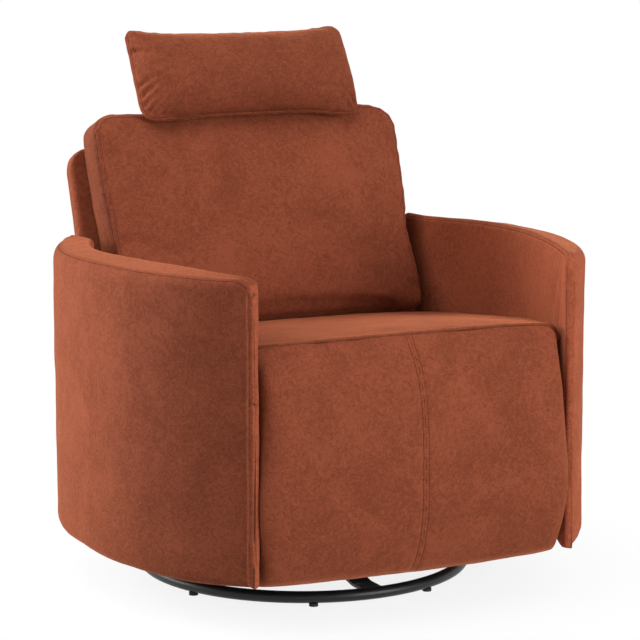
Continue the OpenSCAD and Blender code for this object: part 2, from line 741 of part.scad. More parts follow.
module lift_link() color(black_steel) side_sheet(lift_x, steel_t) difference() {
    union() {
        bar_2d(lift_pivot, lift_end, link_r);
        bar_2d(lift_end, tie_rear, link_r);
        bar_2d(tie_rear, lift_pivot, link_r);
        hole_2d(lift_pivot, torque_r + steel_t);
    }
    hole_2d(lift_pivot, torque_r + fit);
    hole_2d(lift_end, pin_r + running);
    hole_2d(tie_rear, pin_r + fit);
}
module lift_link_left() left() lift_link();
module lift_link_right() lift_link();

module lift_rivets() color(zinc) both_sides() rivet(tie_rear, rivet_in + rivet_play, rivet_out);

module swing_links() color(black_steel) both_sides() side_sheet(lift_x, steel_t) difference() {
    bar_2d(swing_pivot, swing_end, link_r);
    hole_2d(swing_pivot, pin_r + running);
    hole_2d(swing_end, pin_r + running);
}

module carrier_link() color(black_steel) side_sheet(carrier_x, steel_t) difference() {
    bar_2d(lift_end, hinge, link_r);
    for (p = [lift_end, swing_end, hinge]) hole_2d(p, pin_r + fit);
}
module carrier_link_left() left() carrier_link();
module carrier_link_right() carrier_link();
module carrier_rivets() color(zinc) both_sides() for (p = [lift_end, swing_end, hinge])
    rivet(p, rivet_in, rivet_out - rivet_play);

module tie_links() color(black_steel) both_sides() side_sheet(carrier_x, steel_t) difference() {
    bar_2d(tie_rear, tie_front, link_r - over);
    hole_2d(tie_rear, pin_r + running);
    hole_2d(tie_front, pin_r + running);
}

bracket_span = 30;
bracket_rise = 22;
module footrest_brackets() color(black_steel) both_sides() {
    side_sheet(lift_x, steel_t) difference() {
        union() {
            bar_2d(hinge, tie_front, link_r);
            polygon([[board_rear_y, hinge[1] - bracket_rise],
                [hinge[0], hinge[1] - link_r * waist_share], [hinge[0], tie_front[1] + link_r * waist_share],
                [board_rear_y, tie_front[1] + bracket_rise]]);
        }
        hole_2d(hinge, pin_r + running);
        hole_2d(tie_front, pin_r + fit);
    }
    translate([lift_x - bracket_span, board_rear_y, hinge[1] - bracket_rise])
        cube([bracket_span, bracket_t, tie_gap + 2 * bracket_rise]);
}

module footrest_rivets() color(zinc) both_sides() rivet(tie_front, rivet_in + rivet_play, rivet_out);

pad_half = inner_x(arm_front_y) - front_gap;
pad_corner_r = 38;
board_inset = 14;
board_top_gap = 14;
module footrest_board() color(timber)
    translate([board_inset - pad_half, pad_rear_y, hem_z + board_inset])
        cube([2 * (pad_half - board_inset), board_t, pad_top - board_top_gap - hem_z - board_inset]);

pad_height_share = [1, 0.99, 0.965, 0.92, 0.85, 0.74, 0.6, 0.45, 0.3, 0.16, 0.06, 0.012, 0];
pad_station_share = [-1, -0.993, -0.975, -0.93, -0.8, -0.55, -0.25, 0, 0.25, 0.55, 0.8, 0.93, 0.975,
    0.993, 1];
pad_high_power = 3.4;
pad_low_power = 2.8;
pad_end_power = 24;
pad_top_share = 0.05;
pad_low_share = 0.48;
pad_end_share = 0.93;
function pad_depth(z) = bulge_t * (z > bulge_z
    ? 1 - (1 - pad_top_share) * pow((z - bulge_z) / (pad_top - bulge_z), pad_high_power)
    : 1 - (1 - pad_low_share) * pow((bulge_z - z) / (bulge_z - hem_z), pad_low_power));
function pad_ring(s) = let (full = sqrt(1 - pad_end_share * pow(abs(s), pad_end_power)), x = pad_half * s,
    top = pad_top - corner_fall(abs(x), pad_half, pad_corner_r), rear = pad_rear_y - touch)
    concat([[x, rear, hem_z], [x, rear, top]], [for (h = pad_height_share)
        let (z = hem_z + (top - hem_z) * h) [x, rear - over - (pad_depth(z) - over) * full, z]]);
module footrest_pad() color(rust) loft([for (s = pad_station_share) pad_ring(s)]);

// Back

post_x = side_out + over + steel_t + touch;
post_w = 62;
webbing_room = 2;
back_frame_t = cushion_t + webbing_room;
frame_low_w = -118;
back_rail_w = 60;
back_rail_low = -45;
back_rail_mid = 110;
module back_bar(x0, x1, w0, w1) translate([x0, back_frame_t, w0]) cube([x1 - x0, frame_t, w1 - w0]);
module back_frame() color(timber) in_back() {
    both_sides() back_bar(post_x, post_x + post_w, frame_low_w, frame_high_w);
    for (w = [back_rail_low, back_rail_mid, frame_high_w - back_rail_w])
        back_bar(-post_x, post_x, w, w + back_rail_w);
}

// Steel brackets on the posts' inner sides reach forward to the recline pivots
bracket_back_w = 55;
module back_brackets() color(black_steel) both_sides() in_back()
    side_sheet(side_out + over, steel_t) difference() {
        union() {
            hole_2d([pivot_t, pivot_w], pivot_boss_r);
            polygon([[pivot_t - pivot_boss_r, pivot_w], [pivot_t, pivot_w - pivot_boss_r],
                [back_frame_t + frame_t, pivot_w - pivot_boss_r], [back_frame_t + frame_t, -bracket_back_w],
                [back_frame_t, -bracket_back_w]]);
        }
        hole_2d([pivot_t, pivot_w], pivot_r + running);
    }
module back_pivot_bolts() color(zinc) both_sides() {
    pin_x(back_pivot, head_r, side_x - head_t, head_t);
    pin_x(back_pivot, pivot_r, side_x - head_t, 2 * steel_t + 2 * head_t + over + rivet_play);
    pin_x(back_pivot, washer_r, side_out, over - rivet_play);
    pin_x(back_pivot, head_r, side_out + over + steel_t + rivet_play, head_t);
}

strap_w = 50;
strap_t = 1.7;
strap_low = [-40, 35, 115, 232];
strap_inset = 9;
module back_webbing() color(elastic) in_back() for (w = strap_low)
    translate([strap_inset - post_x - post_w, cushion_t + touch, w])
        cube([2 * (post_x + post_w - strap_inset), strap_t, strap_w]);

cushion_low = -58;
cushion_corner_r = 52;
cushion_crown = 26;
cushion_crest = 5;
cushion_station_share = [-1, -0.994, -0.975, -0.94, -0.88, -0.7, -0.4, 0, 0.4, 0.7, 0.88, 0.94,
    0.975, 0.994, 1];
cushion_power = 0.35;
cushion_end_power = 44;
ring_points = 24;
// A soft box section: t runs from the front to the rear, w from low to high. The crown
// swells the front for side -1 and the rear for side 1.
function soft_ring(x, t0, t1, w0, w1, full, crown, power, side) =
    [for (i = [0:ring_points - 1]) let (a = 360 * (i + 0.5) / ring_points,
        c = signed_power(cos(a), power), s = signed_power(sin(a), power),
        puff = side * crown * max(0, side * c) * (1 - pow(abs(s), 2.2)))
        [x, (t0 + t1) / 2 + full * (c * (t1 - t0) / 2) + puff, (w0 + w1) / 2 + s * (w1 - w0) / 2]];
function cushion_ring(s) = let (x = cushion_half * s,
    fall = corner_fall(abs(x), cushion_half, cushion_corner_r))
    soft_ring(x, 0, cushion_t, cushion_low + fall / 4, cushion_top - fall + cushion_crest * (1 - s * s),
        pow(1 - 0.98 * pow(abs(s), cushion_end_power), 0.35),
        cushion_crown * (1 - pow(abs(s), 2.5)), cushion_power, -1);
module back_cushion() color(rust) in_back() loft([for (s = cushion_station_share) cushion_ring(s)]);

outback_low = -130;
outback_front = back_frame_t - over;
outback_corner_r = 44;
outback_power = 0.35;
outback_end_power = 26;
cavity_x = post_x + post_w + touch;
leaf_x = 118;
leaf_slot_t = 17;
function outback_ring(s) = let (x = outback_half * s,
    fall = corner_fall(abs(x), outback_half, outback_corner_r),
    full = pow(1 - 0.98 * pow(abs(s), outback_end_power), 0.3))
    soft_ring(x, outback_front, outback_deep, outback_low, outback_top - fall, full,
        outback_crown * (1 - pow(abs(s), 2)), outback_power, 1);
module outside_back() color(rust) in_back() difference() {
    loft([for (s = cushion_station_share) outback_ring(s)]);
    translate([-cavity_x, outback_front - over, outback_low - over])
        cube([2 * cavity_x, back_frame_t + frame_t + touch - outback_front + over,
            frame_high_w + touch - outback_low + over]);
    for (s = [-1, 1]) translate([s * (leaf_x + steel_t) - 1.5 * steel_t, back_frame_t,
        frame_high_w - back_rail_w]) cube([3 * steel_t, frame_t + leaf_slot_t, outback_top]);
}

// Headrest on two friction hinges that rise from the back's top rail

leaf_lap = 53;
leaf_base_w = frame_high_w - leaf_lap;
leaf_t = back_frame_t + frame_t + touch;
leaf_w = 13;
tilt_rise = 56;
tilt_w = outback_top + tilt_rise;
tilt = [leaf_t + leaf_w / 2, tilt_w];
tilt_r = 4;
module headrest_leaves() color(black_steel) both_sides() in_back()
    side_sheet(leaf_x, steel_t) difference() {
        union() {
            translate([leaf_t, leaf_base_w]) square([leaf_w, tilt[1] - leaf_base_w]);
            hole_2d(tilt, leaf_w / 2);
        }
        hole_2d(tilt, tilt_r + fit);
    }
module headrest_pins() color(zinc) both_sides() in_back() {
    pin_x(tilt, tilt_r, leaf_x - head_t, 2 * steel_t + 2 * head_t + rivet_play);
    pin_x(tilt, leaf_w / 2 - touch, leaf_x - head_t, head_t);
    pin_x(tilt, leaf_w / 2 - touch, leaf_x + 2 * steel_t + rivet_play, head_t);
}

pillow_rise = 50;
pillow_mid = [-18, tilt_w + pillow_rise];
pillow_lean = 10;
pillow_board_t = 10;
pillow_board_half = 150;
pillow_board_h = 50;
arm_entry = -8;
arm_reach = 18;
// The pillow leans further than the back. Its thickness runs along d and its height along h.
function pillow_point(d, h) = pillow_mid + [d * cos(pillow_lean) + h * sin(pillow_lean),
    h * cos(pillow_lean) - d * sin(pillow_lean)];
module in_pillow() in_back() translate([0, pillow_mid[0], pillow_mid[1]]) rotate([-pillow_lean, 0, 0])
    children();
module headrest_arms() color(black_steel) both_sides() in_back()
    side_sheet(leaf_x + steel_t + rivet_play / 2, steel_t) difference() {
        union() {
            bar_2d(tilt, pillow_point(pillow_t + arm_reach, arm_entry), leaf_w / 2);
            bar_2d(pillow_point(pillow_t + arm_reach, arm_entry),
                pillow_point(pillow_board_t / 2 + leaf_w / 2 + touch, arm_entry), leaf_w / 2);
        }
        hole_2d(tilt, tilt_r + running);
    }
module headrest_board() color(timber) in_pillow()
    translate([-pillow_board_half, -pillow_board_t / 2, -pillow_board_h])
        cube([2 * pillow_board_half, pillow_board_t, 2 * pillow_board_h]);

pillow_station_share = [-1, -0.985, -0.95, -0.88, -0.75, -0.5, -0.25, 0, 0.25, 0.5, 0.75, 0.88, 0.95,
    0.985, 1];
pillow_dip = 5;
function pillow_ring(s) = let (end = pow(1 - 0.96 * pow(abs(s), 10), 0.4),
    rise = pow(1 - 0.35 * pow(abs(s), 20), 0.5))
    soft_ring(pillow_half * s, -pillow_t * end, pillow_t * end, -rise * pillow_h,
        rise * (pillow_h - pillow_dip * (1 - s * s)), 1, 0, 0.8, -1);
module headrest_pillow() color(rust) in_pillow() difference() {
    loft([for (s = pillow_station_share) pillow_ring(s)]);
    translate([-pillow_board_half - touch, -pillow_board_t / 2 - touch, -pillow_board_h - touch])
        cube([2 * (pillow_board_half + touch), pillow_board_t + 2 * touch, 2 * (pillow_board_h + touch)]);
    for (s = [-1, 1]) translate([s * (leaf_x + 1.5 * steel_t) - steel_t, 0, arm_entry - leaf_w])
        cube([2 * steel_t, 2 * pillow_t, 2 * leaf_w]);
}

placed() base_ring();
placed() ring_feet();
placed() cross_bar_side();
placed() cross_bar_front();
placed() swivel_plate_lower();
placed() swivel_balls();
placed() king_bolt();
placed() hub_bolts();
placed() swivel_plate_upper();
placed() turntable_channels();
placed() turntable_bolts();
placed() glide_stand_left();
placed() glide_stand_right();
placed() glide_top_pins();
placed() glide_links_front();
placed() glide_links_rear();
placed() glide_bottom_pins();
placed() side_plate_left();
placed() side_plate_right();
placed() cross_tubes();
placed() seat_rail_front();
placed() seat_rail_rear();
placed() seat_rails_side();
placed() seat_bolts();
placed() seat_springs();
placed() spring_clips();
placed() seat_cushion();
placed() arm_frame_left();
placed() arm_frame_right();
placed() arm_cover_left();
placed() arm_cover_right();
placed() arm_brackets();
placed() arm_bolts();
placed() body_rails();
placed() rear_panel();
placed() swing_rivets();
placed() torque_tube();
placed() lift_link_left();
placed() lift_link_right();
placed() lift_rivets();
placed() swing_links();
placed() carrier_link_left();
placed() carrier_link_right();
placed() carrier_rivets();
placed() tie_links();
placed() footrest_brackets();
placed() footrest_rivets();
placed() footrest_board();
placed() footrest_pad();
placed() back_frame();
placed() back_brackets();
placed() back_pivot_bolts();
placed() back_webbing();
placed() outside_back();
placed() back_cushion();
placed() headrest_leaves();
placed() headrest_pins();
placed() headrest_arms();
placed() headrest_board();
placed() headrest_pillow();
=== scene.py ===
# %% [markdown]
# A swivel glider recliner in rust velvet. The hard parts, such as the ring, the swivel, the links
# and the timber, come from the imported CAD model. This notebook dresses them: it makes every
# upholstered piece again as fabric, with crowns, seams and stitches, and gives all surfaces a finish.

# %% Load the frame
import math

import bmesh
import bpy
import numpy as np
from mathutils import Matrix, Vector, kdtree, noise
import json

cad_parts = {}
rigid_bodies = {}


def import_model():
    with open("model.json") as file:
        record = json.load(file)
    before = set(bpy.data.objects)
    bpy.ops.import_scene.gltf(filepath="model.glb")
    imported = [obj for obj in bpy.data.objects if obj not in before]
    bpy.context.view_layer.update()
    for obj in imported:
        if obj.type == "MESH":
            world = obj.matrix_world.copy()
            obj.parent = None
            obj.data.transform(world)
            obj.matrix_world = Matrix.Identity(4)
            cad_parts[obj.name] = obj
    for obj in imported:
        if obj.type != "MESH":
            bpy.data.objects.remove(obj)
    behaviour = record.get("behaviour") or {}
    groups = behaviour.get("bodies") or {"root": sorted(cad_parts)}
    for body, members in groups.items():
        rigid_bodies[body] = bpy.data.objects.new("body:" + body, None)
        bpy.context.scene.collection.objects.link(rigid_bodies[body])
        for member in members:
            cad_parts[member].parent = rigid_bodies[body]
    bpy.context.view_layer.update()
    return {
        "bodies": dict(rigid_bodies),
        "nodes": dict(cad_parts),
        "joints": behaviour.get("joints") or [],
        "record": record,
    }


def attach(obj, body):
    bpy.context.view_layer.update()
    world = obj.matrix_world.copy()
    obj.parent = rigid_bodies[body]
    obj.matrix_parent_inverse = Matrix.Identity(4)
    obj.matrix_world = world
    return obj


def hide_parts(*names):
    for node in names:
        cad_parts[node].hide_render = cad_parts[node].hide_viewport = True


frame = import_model()
record = frame["record"]
joint_at = {j["name"]: j.get("pos_m") for j in frame["joints"]}
AXIS_Y = joint_at["swivel"][1]
MM = 0.001
print("bodies", sorted(frame["bodies"]), "swivel axis at", AXIS_Y)

# %% [markdown]
# The camera stands where the photographer stood. Blender could track it to the chair with a constraint,
# but a matrix built from three directions says exactly where it looks. Its angle, lens and distance were
# worked out from the ring's ellipse and the arm outlines. It aims at the swivel axis, just under the seat.

# %% Camera
def in_scene(name, data):
    made = bpy.data.objects.new(name, data)
    bpy.context.collection.objects.link(made)
    return made


AZIMUTH, ELEVATION = math.radians(-26.2), math.radians(9.9)
DISTANCE, SHIFT_RIGHT, SHIFT_DOWN, LENS = 5.028, 0.02975, 0.001, 157.5
back_dir = Vector((math.sin(AZIMUTH) * math.cos(ELEVATION),
                   -math.cos(AZIMUTH) * math.cos(ELEVATION), math.sin(ELEVATION)))
right_dir = Vector((math.cos(AZIMUTH), math.sin(AZIMUTH), 0))
up_dir = back_dir.cross(right_dir)
AIM = Vector((0, AXIS_Y, 0.450))
eye = AIM + back_dir * DISTANCE + right_dir * SHIFT_RIGHT - up_dir * SHIFT_DOWN
camera = in_scene("camera", bpy.data.cameras.new("camera"))
turn = Matrix((right_dir, up_dir, back_dir)).transposed().to_4x4()
camera.matrix_world = Matrix.Translation(eye) @ turn
camera.data.lens = LENS
camera.data.sensor_width = 36
bpy.context.scene.camera = camera
print("camera at", [round(v, 3) for v in eye])

# %% [markdown]
# A studio sweep is a pale floor that curves up into a wall, so that it has no visible end. A curved
# sheet would show in views from behind. Here the floor is a disc that grows see-through a short way
# from the chair, so it melts into the white world and still takes a soft shadow.

# %% Floor
def empty_tree(owner):
    owner.use_nodes = True
    owner.node_tree.nodes.clear()
    return owner.node_tree


def add_node(tree, kind, inputs=None, **settings):
    made = tree.nodes.new(kind)
    for key, value in settings.items():
        setattr(made, key, value)
    for key, value in (inputs or {}).items():
        if isinstance(value, bpy.types.NodeSocket):
            tree.links.new(value, made.inputs[key])
        else:
            made.inputs[key].default_value = value
    return made


def mix(tree, share, a, b, colours=False):
    """Blends two values or colours. Sockets of a Mix node share their names, so they go by number."""
    first, result = (6, 2) if colours else (2, 0)
    made = add_node(tree, "ShaderNodeMix", {0: share, first: a, first + 1: b},
                    data_type="RGBA" if colours else "FLOAT")
    return made.outputs[result]


def reckon(tree, operation, *values, **settings):
    made = add_node(tree, "ShaderNodeMath", dict(enumerate(values)), operation=operation, **settings)
    return made.outputs[0]


def new_material(name):
    material = bpy.data.materials.new(name)
    return material, empty_tree(material)


def surface(tree, shader):
    add_node(tree, "ShaderNodeOutputMaterial", {"Surface": shader.outputs[0]})


FLOOR_RADIUS, SHADOW_FROM, SHADOW_TO, SHADOW_SHARE = 6.0, 0.25, 0.75, 0.15
floor_mesh = bpy.data.meshes.new("floor")
sweep = bmesh.new()
bmesh.ops.create_circle(sweep, cap_ends=True, radius=FLOOR_RADIUS, segments=96)
sweep.to_mesh(floor_mesh)
sweep.free()
in_scene("floor", floor_mesh)

pale, tree = new_material("pale_floor")
place = add_node(tree, "ShaderNodeTexCoord").outputs["Object"]
reach = add_node(tree, "ShaderNodeVectorMath", {0: place}, operation="LENGTH")
fade = add_node(tree, "ShaderNodeMapRange", {
    "Value": reach.outputs["Value"], "From Min": SHADOW_FROM, "From Max": SHADOW_TO,
    "To Min": SHADOW_SHARE, "To Max": 0.0}, interpolation_type="SMOOTHSTEP")
matte = add_node(tree, "ShaderNodeBsdfDiffuse", {"Color": (0.93, 0.93, 0.93, 1)})
clear = add_node(tree, "ShaderNodeBsdfTransparent")
surface(tree, add_node(tree, "ShaderNodeMixShader", {
    0: fade.outputs[0], 1: clear.outputs[0], 2: matte.outputs[0]}))
floor_mesh.materials.append(pale)
print("floor disc", FLOOR_RADIUS, "m in radius, its shadow ends at", SHADOW_TO, "m")

# %% [markdown]
# Velvet shows its form by soft side light. One large lamp from the front right does most of the work.
# A second one stands behind on the left, so the barrel is bright at its far edge and falls off towards
# its front. A third, high on the left, draws the crests and opens the shade inside the right arm. The
# world fills the shadows weakly, and only the camera and the gloss of the metal see it as white.

# %% Lights and world
def soft_lamp(name, place, size, power):
    lamp = bpy.data.lights.new(name, "AREA")
    lamp.shape = "DISK"
    lamp.size = size
    lamp.energy = power
    holder = in_scene(name, lamp)
    holder.location = Vector(place)
    holder.rotation_euler = (AIM - Vector(place)).to_track_quat("-Z", "Y").to_euler()
    print(name, "at", place, power, "W")


soft_lamp("key_lamp", (1.7, -3.6, 1.15), 2.2, 126)
soft_lamp("side_lamp", (-2.9, 1.9, 1.5), 2.0, 150)
soft_lamp("top_lamp", (-1.5, -0.5, 2.6), 2.2, 34)

world = bpy.data.worlds.new("studio")
bpy.context.scene.world = world
tree = empty_tree(world)
ray = add_node(tree, "ShaderNodeLightPath")
seen = reckon(tree, "MAXIMUM", ray.outputs["Is Camera Ray"], ray.outputs["Is Glossy Ray"])
WHITE, AMBIENT = (1, 1, 1, 1), 0.58
ambient = add_node(tree, "ShaderNodeBackground", {"Color": WHITE, "Strength": AMBIENT})
white = add_node(tree, "ShaderNodeBackground", {"Color": WHITE, "Strength": 1.0})
sky = add_node(tree, "ShaderNodeMixShader", {0: seen, 1: ambient.outputs[0], 2: white.outputs[0]})
add_node(tree, "ShaderNodeOutputWorld", {"Surface": sky.outputs[0]})
bpy.context.scene.view_settings.view_transform = "Standard"

# %% [markdown]
# Velvet is a short dense pile. Where a hand has brushed it, the pile lies another way, so patches
# look lighter or darker with soft edges. Real hairs would be far too many, so the nap is a shader
# group: broad patches, the strokes of a hand, fibres and single tufts are noises of growing fineness,
# mixed into a colour, a roughness and a bump height.

# %% Shader group: velvet nap
SKIN_OUTPUTS = (("Colour", "NodeSocketColor"), ("Roughness", "NodeSocketFloat"),
                ("Height", "NodeSocketFloat"))


def new_group(name, inputs):
    group = bpy.data.node_groups.new(name, "ShaderNodeTree")
    for label, kind, value in inputs:
        socket = group.interface.new_socket(label, in_out="INPUT", socket_type=kind)
        socket.default_value = value
    for label, kind in SKIN_OUTPUTS:
        group.interface.new_socket(label, in_out="OUTPUT", socket_type=kind)
    return group, group.nodes.new("NodeGroupInput")


STROKE_SCALE, FIBRE_SCALE = 62.0, 210.0
STROKE_SHARE, FIBRE_SHARE, TUFT_SHARE, TUFT_HEIGHT = 0.66, 0.28, 0.36, 0.8


def velvet_nap_group():
    group, given = new_group("velvet_nap", [
        ("Lit Colour", "NodeSocketColor", (0.5, 0.1, 0.04, 1)),
        ("Deep Colour", "NodeSocketColor", (0.3, 0.05, 0.02, 1)),
        ("Patch Scale", "NodeSocketFloat", 11.0), ("Tuft Scale", "NodeSocketFloat", 420.0)])
    where = add_node(group, "ShaderNodeTexCoord").outputs["Object"]

    def cloud(scale, detail, roughness, distortion=0.0):
        noise_node = add_node(group, "ShaderNodeTexNoise", {
            "Vector": where, "Scale": scale, "Detail": detail, "Roughness": roughness,
            "Distortion": distortion})
        return noise_node.outputs["Fac"]

    patches = cloud(given.outputs["Patch Scale"], 4.0, 0.6, 0.8)
    strokes = cloud(STROKE_SCALE, 5.0, 0.74, 2.4)
    fibres = cloud(FIBRE_SCALE, 3.0, 0.7, 1.5)
    tufts = cloud(given.outputs["Tuft Scale"], 3.0, 0.7)
    pile_lie_and_painted_light = mix(group, FIBRE_SHARE, mix(group, STROKE_SHARE, patches, strokes), fibres)
    brushing_and_painted_light = add_node(group, "ShaderNodeMapRange", {
        "Value": pile_lie_and_painted_light, "From Min": 0.40, "From Max": 0.60}, interpolation_type="SMOOTHSTEP").outputs[0]
    grain = add_node(group, "ShaderNodeMapRange", {
        "Value": tufts, "From Min": 0.3, "From Max": 0.7, "To Min": -TUFT_SHARE, "To Max": TUFT_SHARE})
    pile = reckon(group, "ADD", brushing_and_painted_light, grain.outputs[0], use_clamp=True)
    tint = mix(group, pile, given.outputs["Deep Colour"], given.outputs["Lit Colour"], colours=True)
    rough = add_node(group, "ShaderNodeMapRange", {"Value": pile, "To Min": 0.95, "To Max": 0.75})
    raised = reckon(group, "ADD", reckon(group, "MULTIPLY", tufts, TUFT_HEIGHT), brushing_and_painted_light)
    add_node(group, "NodeGroupOutput", {"Colour": tint, "Roughness": rough.outputs[0], "Height": raised})
    return group


NAP = velvet_nap_group()
print("velvet nap:", len(NAP.nodes), "nodes")

# %% [markdown]
# One velvet covers the whole chair, so a small function makes the material from two colours: the pile
# seen on end and the pile seen from its side. A sheen lobe brightens the edges, as the real pile does.
# The threads in the seams get the same nap, only darker. A value stored on the points of a piece paints
# light and shade into the colour: it makes the velvet lighter or darker by which way each point faces.

# %% Velvet materials
# The first value says how far the painted light and shade stored on the points lighten or darken the
# velvet.
PAINTED_LIGHT_GAIN, PILE_HEIGHT, PILE_BUMP, SHEEN_TINT = 0.45, 0.0012, 0.3, (1.0, 0.32, 0.15, 1)


def velvet(name, lit, deep, patch=9.0, sheen=0.42):
    material, tree = new_material(name)
    nap = add_node(tree, "ShaderNodeGroup", {
        "Lit Colour": (*lit, 1), "Deep Colour": (*deep, 1), "Patch Scale": patch}, node_tree=NAP)
    raised = add_node(tree, "ShaderNodeBump", {
        "Height": nap.outputs["Height"], "Strength": PILE_BUMP, "Distance": PILE_HEIGHT})
    # Painted light and shade: the velvet's colour is scaled up or down by the value stored on each point.
    pile_lie_and_painted_light = add_node(tree, "ShaderNodeAttribute", attribute_name="brushing_and_painted_light")
    gain = reckon(tree, "MULTIPLY_ADD", pile_lie_and_painted_light.outputs["Fac"], PAINTED_LIGHT_GAIN, 1.0)
    shade = add_node(tree, "ShaderNodeVectorMath", {0: nap.outputs["Colour"], "Scale": gain},
                     operation="SCALE")
    cloth = add_node(tree, "ShaderNodeBsdfPrincipled", {
        "Base Color": shade.outputs["Vector"], "Roughness": nap.outputs["Roughness"],
        "Normal": raised.outputs[0], "Sheen Weight": sheen, "Sheen Roughness": 0.4,
        "Sheen Tint": SHEEN_TINT, "Specular IOR Level": 0.06})
    surface(tree, cloth)
    return material


rust_velvet = velvet("rust_velvet", (0.229, 0.0562, 0.0264), (0.147, 0.0352, 0.0163))
seam_thread = velvet("seam_thread", (0.080, 0.018, 0.009), (0.060, 0.013, 0.006), patch=60, sheen=0.08)
# The stitches are real thread; their darker colour is painted shade of the holes they sink into.
stitch_thread = velvet("stitch_thread", (0.115, 0.027, 0.013), (0.085, 0.019, 0.009), patch=60, sheen=0.1)
print("velvets:", rust_velvet.name, seam_thread.name, stitch_thread.name)

# %% [markdown]
# Bought metal parts are never quite clean, and a single gloss would look like plastic. One group adds
# what both the black powder coat and the zinc plate have: a slight change of gloss from place to place
# and a little dust on what faces up. The rubber of the feet uses it too, because it gathers dust.

# %% Shader group: handled metal
def handled_metal_group():
    group, given = new_group("handled_metal", [
        ("Metal Colour", "NodeSocketColor", (0.02, 0.02, 0.02, 1)),
        ("Dust Colour", "NodeSocketColor", (0.3, 0.28, 0.26, 1)), ("Dust", "NodeSocketFloat", 0.2),
        ("Base Roughness", "NodeSocketFloat", 0.4), ("Grain Scale", "NodeSocketFloat", 500.0)])
    where = add_node(group, "ShaderNodeTexCoord").outputs["Object"]
    clouds = add_node(group, "ShaderNodeTexNoise", {
        "Vector": where, "Scale": 22.0, "Detail": 5.0, "Roughness": 0.6}).outputs["Fac"]
    grain = add_node(group, "ShaderNodeTexNoise", {
        "Vector": where, "Scale": given.outputs["Grain Scale"], "Detail": 2.0})
    facing = add_node(group, "ShaderNodeNewGeometry")
    split = add_node(group, "ShaderNodeSeparateXYZ", {0: facing.outputs["Normal"]})
    lying = add_node(group, "ShaderNodeMapRange", {"Value": split.outputs["Z"], "From Min": 0.4})
    settled = reckon(group, "MULTIPLY", lying.outputs[0], clouds)
    dusty = reckon(group, "MULTIPLY", settled, given.outputs["Dust"])
    tint = mix(group, dusty, given.outputs["Metal Colour"], given.outputs["Dust Colour"], colours=True)
    gloss = add_node(group, "ShaderNodeMapRange", {
        "Value": clouds, "From Min": 0.3, "From Max": 0.7, "To Min": -0.07, "To Max": 0.09})
    rough = reckon(group, "ADD", gloss.outputs[0], given.outputs["Base Roughness"])
    add_node(group, "NodeGroupOutput", {
        "Colour": tint, "Roughness": rough, "Height": grain.outputs["Fac"]})
    return group


HANDLED = handled_metal_group()
print("handled metal:", len(HANDLED.nodes), "nodes")


def metal(name, colour, metallic, roughness, dust, bump, coat=0.0):
    material, tree = new_material(name)
    coating = add_node(tree, "ShaderNodeGroup", {
        "Metal Colour": (*colour, 1), "Dust": dust, "Base Roughness": roughness}, node_tree=HANDLED)
    raised = add_node(tree, "ShaderNodeBump", {
        "Height": coating.outputs["Height"], "Strength": bump, "Distance": 0.0004})
    body = add_node(tree, "ShaderNodeBsdfPrincipled", {
        "Base Color": coating.outputs["Colour"], "Roughness": coating.outputs["Roughness"],
        "Normal": raised.outputs[0], "Metallic": metallic, "Coat Weight": coat, "Coat Roughness": 0.25,
        "Specular IOR Level": 0.3})
    surface(tree, body)
    return material


black_coat = metal("black_coat", (0.0035, 0.0035, 0.004), 0.0, 0.42, 0.03, 0.25, coat=0.05)
zinc_plate = metal("zinc_plate", (0.52, 0.53, 0.54), 1.0, 0.36, 0.25, 0.15)
rubber_skin = metal("rubber_skin", (0.012, 0.012, 0.012), 0.0, 0.72, 0.18, 0.5)

# %% [markdown]
# The timber inside is plain sawn beech. Its grain runs along the long side of a rail, so the
# texture is squeezed across the grain and stretched along it. The webbing of the back is woven
# elastic, whose ribs are a wave texture.

# %% Timber and webbing
timber, tree = new_material("sawn_timber")
where = add_node(tree, "ShaderNodeTexCoord").outputs["Object"]
along = add_node(tree, "ShaderNodeMapping", {"Vector": where, "Scale": (4, 60, 60)})
grown = add_node(tree, "ShaderNodeTexNoise", {
    "Vector": along.outputs[0], "Scale": 1.0, "Detail": 7.0, "Distortion": 1.2}).outputs["Fac"]
pale_wood, dark_wood = (0.56, 0.36, 0.19, 1), (0.36, 0.20, 0.09, 1)
wood_tint = mix(tree, grown, dark_wood, pale_wood, colours=True)
wood_bump = add_node(tree, "ShaderNodeBump", {"Height": grown, "Strength": 0.3, "Distance": 0.0006})
wood_skin = add_node(tree, "ShaderNodeBsdfPrincipled", {
    "Base Color": wood_tint, "Roughness": 0.7, "Normal": wood_bump.outputs[0]})
surface(tree, wood_skin)

elastic, tree = new_material("woven_elastic")
where = add_node(tree, "ShaderNodeTexCoord").outputs["Object"]
ribs = add_node(tree, "ShaderNodeTexWave", {"Vector": where, "Scale": 140.0, "Distortion": 0.4},
                bands_direction="X").outputs["Fac"]
between_ribs, on_ribs = (0.015, 0.015, 0.018, 1), (0.05, 0.05, 0.056, 1)
rib_tint = mix(tree, ribs, between_ribs, on_ribs, colours=True)
rib_bump = add_node(tree, "ShaderNodeBump", {"Height": ribs, "Strength": 0.5, "Distance": 0.0005})
web_skin = add_node(tree, "ShaderNodeBsdfPrincipled", {
    "Base Color": rib_tint, "Roughness": 0.8, "Normal": rib_bump.outputs[0]})
surface(tree, web_skin)
print("finishes:", timber.name, elastic.name)

# %% [markdown]
# The record says which finish each node of the CAD model has. The steel, timber, rubber and webbing
# stay as they were built, because a machined part already has its true shape.

# %% Finish the CAD nodes
finish_of = {"black_steel": black_coat, "zinc_steel": zinc_plate, "timber": timber, "rubber": rubber_skin,
             "elastic_web": elastic, "rust_velvet": rust_velvet}
slot_of = {p["node"]: p["material_slot"] for p in record["subparts"]}
for name, node in frame["nodes"].items():
    node.data.materials.clear()
    node.data.materials.append(finish_of[slot_of[name]])
print(len(frame["nodes"]), "CAD nodes have a finish")

